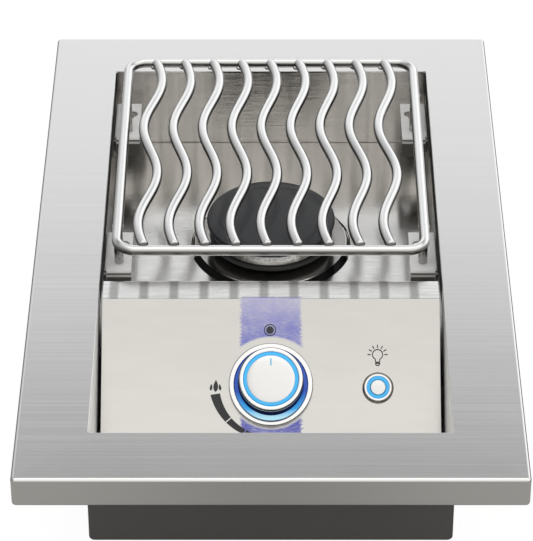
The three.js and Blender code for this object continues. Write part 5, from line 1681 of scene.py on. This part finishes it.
@dataclass
class Knob:
    """The lit control knob in its bezel, about the valve stem's axis."""

    bezel: float = 0.03075
    bezel_height: float = 0.0046
    well: float = 0.02685
    floor: float = 0.0015
    centre_hole: float = 0.0075
    radius: float = 0.0235
    skirt_radius: float = 0.024
    waist: float = 0.0218
    height: float = 0.0246
    skirt_lift: float = 0.008
    skirt_band: float = 0.0016
    rim_band: float = 0.005
    ring_outer: float = 0.0197
    ring_inner: float = 0.0175
    pocket: float = 0.003
    crown: float = 0.0004
    fit: float = 0.0002
    ring_low: float = 0.0031
    ring_depth: float = 0.0016
    glow_inner: float = 0.019
    hub: float = 0.006
    bore: float = 0.0033
    hub_lift: float = 0.009
    roof: float = 0.0173
    shell: float = 0.003
    pointer: Point = (0.0098, 0.0125, 0.0152)
    pointer_width: float = 0.0011

    def build(self) -> None:
        """Turns every visible piece of the knob and the bezel."""
        self.place = panel_place(0.0, KNOB_DOWN)
        self._bezel()
        self._body()
        self._face()

    def _turn(self, name: str, corners: Sequence[Point], radii: Sequence[float]) -> Piece:
        """Turns a rounded outline about the stem."""
        return turned(name, corners, radii, self.place, 128, 5)

    def _chrome(self, name: str, **bands: Any) -> RoundFinish:
        """Bright chrome with bands of painted shade and painted reflection."""
        look = {"mottle": CHROME.mottle, "patch": CHROME.patch, "centre": tuple(self.place.translation)}
        return RoundFinish(name, CHROME.colour, CHROME.roughness, **look, **bands)

    def _bezel(self) -> None:
        """The bezel, and the lit ring in its well."""
        hole, bezel, well, height = self.centre_hole, self.bezel, self.well, self.bezel_height
        corners = [(hole, CLEARANCE), (bezel, CLEARANCE), (bezel, height - 0.0006), (bezel - 0.0006, height)]
        corners += [(well + 0.0002, height), (well, height - 0.0008), (well, self.floor), (hole, self.floor)]
        radii = [0.0, 0.0001, 0.0003, 0.0003, 0.0004, 0.0003, 0.0002, 0.0]
        # Painted shade: a thin dark grey line at the bezel's outer edge.
        chrome = self._chrome("bright_bezel", rings=((0.0303, (0.22, 0.22, 0.23)),))
        settle(self._turn("knob_bezel_ring", corners, radii), chrome, "bright_chrome", "knob_bezel")
        low, inner, outer = self.ring_low, self.glow_inner, well - CLEARANCE
        middle, top = low + self.ring_depth * 0.4, low + self.ring_depth * 0.7
        lens = [(inner, low), (outer, low), (outer, top), (inner + 0.001, middle), (inner, middle)]
        look = {"patch": 0.006, "glow": 0.85, "coat": 0.1, "centre": tuple(self.place.translation)}
        finish = RingGlowFinish("blue_well_ring", (0.01, 0.04, 0.2), 0.2, 0.0, **look)
        settle(self._turn("bezel_glow_ring", lens, [0.0002] * 5), finish, "blue_lens", "bezel_light_ring")

    def _body(self) -> None:
        """The bright body: skirt, waist, rim and the pocket for its lit ring."""
        skirt_top = self.skirt_lift + self.skirt_band
        rim_low = self.height - self.rim_band
        inner, pocket = self.waist - self.shell, self.ring_outer + self.fit
        hub, bore, roof, floor = self.hub, self.bore, self.roof, self.height - self.pocket
        lift, skirt, skirt_low, waist = self.hub_lift, self.skirt_radius, self.skirt_lift, self.waist
        corners = [(0.0, roof), (bore, roof), (bore, lift), (hub, lift), (hub, roof), (inner, roof)]
        corners += [(inner, skirt_low), (skirt, skirt_low), (skirt, skirt_top), (waist, skirt_top + 0.0009)]
        corners += [(waist, (skirt_top + rim_low) / 2), (self.radius, rim_low), (self.radius, self.height)]
        corners += [(pocket, self.height), (pocket, floor), (0.0, floor)]
        radii = [0.0, 0.0, 0.0003, 0.0003, 0.0, 0.0, 0.0004, 0.0005, 0.0006, 0.001]
        radii += [0.004, 0.0015, 0.0011, 0.0002]
        # Painted light and shade on the chrome: beyond 22.9 mm from the axis it is near black shade; lower
        # than 18.8 mm it is painted blue, the reflection of the ring's light; lower than 12.5 mm it is navy
        # shade.
        levels = ((0.0188, (0.05, 0.2, 0.7)), (0.0125, (0.01, 0.02, 0.09)))
        finish = self._chrome("bright_knob_body", rings=((0.0229, (0.01, 0.012, 0.02)),), levels=levels)
        shell = self._turn("knob_body_shell", corners, radii)
        settle(shell, finish, "bright_chrome", "knob_body", body="control_knob")

    def _face(self) -> None:
        """The lit ring, the satin face and a generic pointer line."""
        seat = self.height - self.pocket + CLEARANCE
        corners = rectangle(self.ring_inner, seat, self.ring_outer, self.height - self.fit)
        ring = self._turn("knob_glow_ring", corners, [0.0002] * 4)
        settle(ring, CYAN_RING, "cyan_lens", "knob_light_ring", body="control_knob")
        edge, rim, top = self.ring_inner - self.fit, self.height - self.crown, self.height + self.crown
        angles = (0.35, 0.7, 1.05, 1.4)
        crown = [(edge * math.cos(angle), rim + 2 * self.crown * math.sin(angle)) for angle in angles]
        crown = [(0.0, seat), (edge, seat), (edge, rim), *crown, (0.0, top)]
        face = turned("knob_face_disc", crown, [], self.place, 128, smooth=60.0)
        settle(face, SATIN, "satin_metal", "knob_face", body="control_knob")
        lift = lambda p: self.place @ Vector((p.x, p.y, top + 0.00008 - 0.0000017 * (p.length * 1000) ** 2))
        mark = stroke([Vector((0.0, y)) for y in self.pointer], self.pointer_width)
        pointer = sheet("knob_pointer", mark, [], [], lift, 0.0003)
        settle(pointer, FACE_PRINT, "cyan_lens", body="control_knob")


@dataclass
class LightButton:
    """The push button for the lights, with its lit ring."""

    flange_radius: float = 0.0114
    flange: float = 0.0021
    barrel: float = 0.0094
    barrel_length: float = 0.022
    ring_outer: float = 0.0082
    ring_inner: float = 0.006
    ring_depth: float = 0.0025
    cap: float = 0.0056
    cap_length: float = 0.011
    cavity: float = 0.014
    fit: float = 0.0002

    def build(self) -> None:
        """Turns the housing, the ring and the cap."""
        place = panel_place(*BUTTON_AT)
        foot, top = CLEARANCE, CLEARANCE + self.flange
        seat, lens_top = top - self.ring_depth - foot, top - self.fit
        low, out, barrel, floor = -self.barrel_length, self.flange_radius, self.barrel, -self.cavity
        wall, pocket = self.ring_inner - self.fit / 2, self.ring_outer + self.fit
        corners = [(0.0, low), (barrel, low), (barrel, foot), (out, foot), (out, foot + self.flange * 0.4)]
        corners += [(out - 0.0012, top), (pocket, top), (pocket, seat), (wall, seat), (wall, floor)]
        radii = [0.0006, 0.0, 0.0002, 0.0006, 0.0005, 0.0003, 0.0, 0.0, 0.0]
        housing = turned("light_button_housing", [*corners, (0.0, floor)], radii, place)
        look = {"grain": Grain.ROUND, "smear": 0.12, "mottle": 0.02, "patch": 0.004}
        # Painted shade: the housing is grey beyond 9.7 mm from its axis.
        look |= {"centre": tuple(place.translation), "rings": ((0.0097, (0.36, 0.345, 0.32)),)}
        finish = RoundFinish("satin_button_ring", (0.95, 0.95, 0.95), 0.22, **look)
        settle(housing, finish, "bright_chrome", "button_housing")
        corners = rectangle(self.ring_inner, seat + foot, self.ring_outer, lens_top)
        lens = turned("light_button_ring", corners, [0.0003] * 4, place, steps=5)
        settle(lens, CYAN_RING, "cyan_lens", "button_ring_lens")
        corners = rectangle(0.0, lens_top - self.cap_length, self.cap, lens_top)
        disc = turned("light_button_cap", corners, [0.0004, 0.0006], place)
        settle(disc, SATIN, "satin_metal", "button_cap", body="light_button")


# ---------------------------------------------------------------- gas and power at the back


@dataclass
class BackFittings:
    """The threaded gas fitting and the power jack that stick out at the back."""

    thread: float = 0.0079
    bore: float = 0.0045
    hexagon: float = 0.0106
    hex_depth: float = 0.006
    thread_pitch: float = 0.0014
    thread_depth: float = 0.0006
    jack: float = 0.0058
    jack_flange: float = 0.0085
    jack_bore: float = 0.0028
    jack_depth: float = 0.009
    hex_steps: int = 72
    chamfer: float = 0.0008

    def build(self) -> None:
        """Makes both fittings about axes that run to the back."""
        self._fitting()
        self._jack()

    @staticmethod
    def _axis(x: float, z: float) -> Matrix:
        """A place whose Z runs to the back."""
        return Matrix.Translation((x, 0.0, z)) @ Matrix.Rotation(-math.pi / 2, 4, "X")

    def _fitting(self) -> None:
        """The brass fitting: tail, hexagon and thread."""
        low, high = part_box("inlet_fitting")
        bore, thread, end = self.bore, self.thread, high.y
        hex_start = CASING_BACK + CLEARANCE
        hex_end, core = hex_start + self.hex_depth, thread * 1.08
        outline = [(bore, low.y), (thread, low.y), (thread, hex_start), (core, hex_start), (core, hex_end)]
        outline += [(thread, hex_end)]
        for i in range(int((end - hex_end - 0.002) / self.thread_pitch)):
            start = hex_end + 0.001 + i * self.thread_pitch
            outline += [(thread, start), (thread - self.thread_depth, start + self.thread_pitch / 2)]
        outline += [(thread, end - self.chamfer), (thread - self.thread_depth, end)]
        outline += [(bore + 0.001, end), (bore, end - 0.001)]
        tube = turned("fitting_tube", outline, [], self._axis(*INLET_AT), 64, smooth=25.0)
        hexagon = loft("fitting_hex", self._hex_loops(hex_start, hex_end))
        piece = join_pieces("gas_inlet_fitting", [tube, hexagon])
        settle(piece, BRASS, "brass", "inlet_fitting")

    def _hex_loops(self, start: float, end: float) -> list[list[Vector]]:
        """Loops of a hexagon whose corners are chamfered at both ends."""
        place = self._axis(*INLET_AT)
        flat, full, chamfer = self.hexagon * math.cos(math.pi / 6), self.hexagon, self.chamfer
        loops = []
        for height, limit in ((start, flat), (start + chamfer, full), (end - chamfer, full), (end, flat)):
            loop = []
            for i in range(self.hex_steps):
                angle = 2 * math.pi * i / self.hex_steps
                to_flat = (angle % (math.pi / 3)) - math.pi / 6
                radius = min(flat / math.cos(to_flat), limit)
                loop.append(place @ Vector((radius * math.cos(angle), radius * math.sin(angle), height)))
            loops.append(loop)
        return loops

    def _jack(self) -> None:
        """The round power jack with its flange and socket."""
        low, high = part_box("power_jack")
        flange, end, floor = CASING_BACK + CLEARANCE, high.y, high.y - self.jack_depth
        corners = [(0.0, low.y), (self.jack, low.y), (self.jack, flange), (self.jack_flange, flange)]
        corners += [(self.jack_flange, end), (self.jack_bore, end), (self.jack_bore, floor), (0.0, floor)]
        radii = [0.0004, 0.0, 0.0003, 0.0007, 0.0004, 0.0]
        piece = turned("power_jack_socket", corners, radii, self._axis(*JACK_AT), 64)
        settle(piece, PLASTIC, "black_plastic", "power_jack")


@dataclass
class Igniter:
    """The ceramic and the bent electrode that stand behind the burner."""

    behind: float = 0.0547
    radius: float = 0.0032
    collar: float = 0.0046
    collar_band: float = 0.0016
    wire: float = 0.0011
    reach: float = 0.006
    tip_rise: float = 0.0022
    collar_drop: float = 0.006

    def build(self) -> None:
        """Turns the ceramic and sweeps the wire."""
        low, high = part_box("electrode_ceramic")
        seat = high.z - self.collar_drop + CLEARANCE
        band, y = seat + self.collar_band, BURNER_Y + self.behind
        out, collar = self.radius, self.collar
        corners = [(0.0, low.z), (out, low.z), (out, seat), (collar, seat), (collar, band), (out, band)]
        corners += [(out * 0.8, high.z), (0.0, high.z)]
        radii = [0.0006, 0.0, 0.0004, 0.0005, 0.0004, 0.0008]
        piece = turned("igniter_ceramic", corners, radii, Matrix.Translation((0.0, y, 0.0)), 48)
        settle(piece, CERAMIC, "white_ceramic", "electrode_ceramic")
        wire_low, wire_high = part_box("igniter_electrode")
        bend = wire_high.z - self.tip_rise - self.wire
        tip, handle = bend + self.tip_rise, bend + self.tip_rise * 0.7
        tree = SolidTree("electrode_wire", Radius=self.wire)
        first = tree.line((0.0, y, wire_low.z), (0.0, y, bend))
        inputs = {"Resolution": 16, "Start": (0.0, y, bend), "Start Handle": (0.0, y, handle)}
        inputs |= {"End Handle": (0.0, y - self.reach * 0.4, handle), "End": (0.0, y - self.reach, tip)}
        second = tree.node("GeometryNodeCurvePrimitiveBezierSegment", {"mode": "POSITION"}, inputs)
        wire = tree.join(*[tree.sweep(line, tree["Radius"], 20, True) for line in (first, second)])
        piece = tree.build("igniter_wire", wire, HARDWARE.material())
        settle(piece, HARDWARE, "hardware_steel", "igniter_electrode")


def dress_carried_nodes(nodes: dict[str, Piece]) -> None:
    """Gives a finish to every CAD node that is kept as it is.

    Args:
        nodes: the frame's CAD nodes by name.
    """
    finishes = {
        LINER_STEEL: ["liner_back", "orifice_bracket"],
        SIDE_STEEL: ["liner_left", "liner_right"],
        CAST_METAL: ["mixing_cup", "valve_body", "valve_bonnet"],
        PLAIN_TUBE: ["venturi_tube", "air_shutter", "gas_feed_tube", "inlet_pipe", "button_nut"],
        BRASS: ["orifice", "valve_plug", "inlet_locknut"],
        HARDWARE: ["valve_stem", "stem_spring", "bezel_screw_left", "bezel_screw_right"],
        BOARD: ["knob_led_board"],
        PLASTIC: ["ignition_module"],
        RED_SLEEVE: ["ignition_lead"],
        BLACK_SLEEVE: ["light_lead"],
    }
    for finish, names in finishes.items():
        finish.dress(*[nodes[name] for name in names])
        LOG.info("%s on %s", finish.name, ", ".join(names))


# ---------------------------------------------------------------- studio


@dataclass
class Studio:
    """A pale floor and a soft, graded room of light."""

    floor_half: float = 4.0
    floor_drop: float = 0.0004
    floor_shaded_middle: Colour = (0.31, 0.302, 0.291)
    floor_side: Colour = (0.385, 0.375, 0.36)
    camera_share: float = 0.8
    floor_glow: float = 1.2
    lamp_size: Point = (1.4, 1.0)
    lamp_power: float = 5.0
    lamp_place: Point = (-0.9, -0.3, 1.9)

    def build(self) -> None:
        """Sets up the floor, the room's light and one soft lamp."""
        self._floor()
        self._room()
        self._lamp()

    def _floor(self) -> None:
        """The floor: white to the camera with a soft shadow, and to everything else grey with painted shade
        along its middle.
        """
        made = bpy.data.materials.new("studio_floor")
        graph = Graph.of(made)
        place = graph.node("ShaderNodeTexCoord", output="Object")
        # Painted shade: the grey that reflections see is darker in a band along the middle, where the object
        # stands.
        side = graph.split(place)[0].apply("ABSOLUTE") + graph.noise(place, 0.4, 2.0) * 0.02
        tone = graph.mix(side.between(0.0, 0.18), self.floor_shaded_middle, self.floor_side)
        matt = graph.node("ShaderNodeBsdfDiffuse", {}, {"Color": tone})
        inputs = {"Color": (1.0, 1.0, 1.0, 1.0), "Strength": self.floor_glow}
        light = graph.node("ShaderNodeEmission", {}, inputs)
        seen = graph.node("ShaderNodeLightPath", output="Is Camera Ray")
        surface = graph.node("ShaderNodeMixShader", {}, {0: seen * self.camera_share, 1: matt, 2: light})
        graph.node("ShaderNodeOutputMaterial", {}, {"Surface": surface})
        half = self.floor_half
        mesh = bpy.data.meshes.new("studio_floor")
        corners = [(*point, -self.floor_drop) for point in rectangle(-half, -half, half, half)]
        mesh.from_pydata(corners, [], [(0, 1, 2, 3)])
        mesh.materials.append(made)
        linked("studio_floor", mesh)

    def _room(self) -> None:
        """The room's light, by direction: a graded screen behind and an even one in front and above."""
        world = bpy.data.worlds.new("studio_room")
        bpy.context.scene.world = world
        graph = Graph.of(world)
        direction = graph.node("ShaderNodeTexCoord", output="Generated")
        x, y, z = graph.split(graph.vector("NORMALIZE", direction))
        screen = z.between(0.35, 0.53, 1.08, 0.96) + z.between(0.545, 0.68, 0.0, -0.66)
        screen = screen + z.between(0.7, 0.8, 0.0, 0.63)
        front = z.between(0.1, 0.7, 0.72, 1.05)
        behind = y.between(-0.05, 0.3)
        level = behind * screen + (1.0 - behind) * front + z.between(0.93, 0.975, 0.0, 0.35)
        level = level * x.between(-0.7, -0.15, 0.45, 1.0) * x.between(0.15, 0.7, 1.0, 1.2)
        colour = graph.mix(behind, (1.0, 0.985, 0.955), (0.995, 0.998, 1.0))
        lit = graph.node("ShaderNodeBackground", {}, {"Color": colour, "Strength": level})
        white = graph.node("ShaderNodeBackground", {}, {"Color": (1.0, 1.0, 1.0, 1.0), "Strength": 1.0})
        seen = graph.node("ShaderNodeLightPath", output="Is Camera Ray")
        surface = graph.node("ShaderNodeMixShader", {}, {0: seen, 1: lit, 2: white})
        graph.node("ShaderNodeOutputWorld", {}, {"Surface": surface})

    def _lamp(self) -> None:
        """One large soft lamp, high on the left."""
        light = bpy.data.lights.new("soft_lamp", "AREA")
        light.shape = "RECTANGLE"
        light.size, light.size_y = self.lamp_size
        light.energy = self.lamp_power
        lamp = linked("soft_lamp", light)
        lamp.location = self.lamp_place
        lamp.rotation_euler = (-Vector(self.lamp_place)).to_track_quat("-Z", "Y").to_euler()
        lamp.visible_glossy = False


@dataclass
class PhotoCamera:
    """The camera at the photograph's place and angle, for a frame of 533 by 541."""

    frame_height: int = 541
    place: Point = (0.0, -1.82906, 1.40898)
    pitch: float = math.radians(36.3043)
    lens: float = 197.687
    sensor: float = 36.0
    shift_pixels: float = -4.4

    def build(self) -> None:
        """Adds the camera and makes it the scene's own."""
        data = bpy.data.cameras.new("photo_camera")
        data.lens = self.lens
        data.sensor_width = self.sensor
        data.shift_x = self.shift_pixels / self.frame_height
        camera = linked("photo_camera", data)
        camera.location = self.place
        camera.rotation_euler = (math.pi / 2 - self.pitch, 0.0, 0.0)
        bpy.context.scene.camera = camera


def main() -> None:
    """Loads the frame, builds and dresses every sub-assembly, and sets up the studio."""
    logging.basicConfig(level=logging.INFO, format="%(name)s: %(message)s")
    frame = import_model()
    PhotoCamera().build()
    Studio().build()
    dress_carried_nodes(frame["nodes"])
    sides = {"left": -1, "right": 1}
    ends = ("front", "rear")
    brackets = [GrateBracket(f"grate_bracket_{end}_{side}", sides[side]) for end in ends for side in sides]
    sheets = [TrimFrame(), Casing(), BurnerPan(), ControlPanel(), PanelMarks(), *brackets]
    controls = [Knob(), LightButton(), BackFittings(), Igniter()]
    for assembly in [*sheets, Grate(), Burner(), *controls]:
        assembly.build()
    bpy.context.scene.view_settings.view_transform = "Standard"


if __name__ == "__main__":
    main()
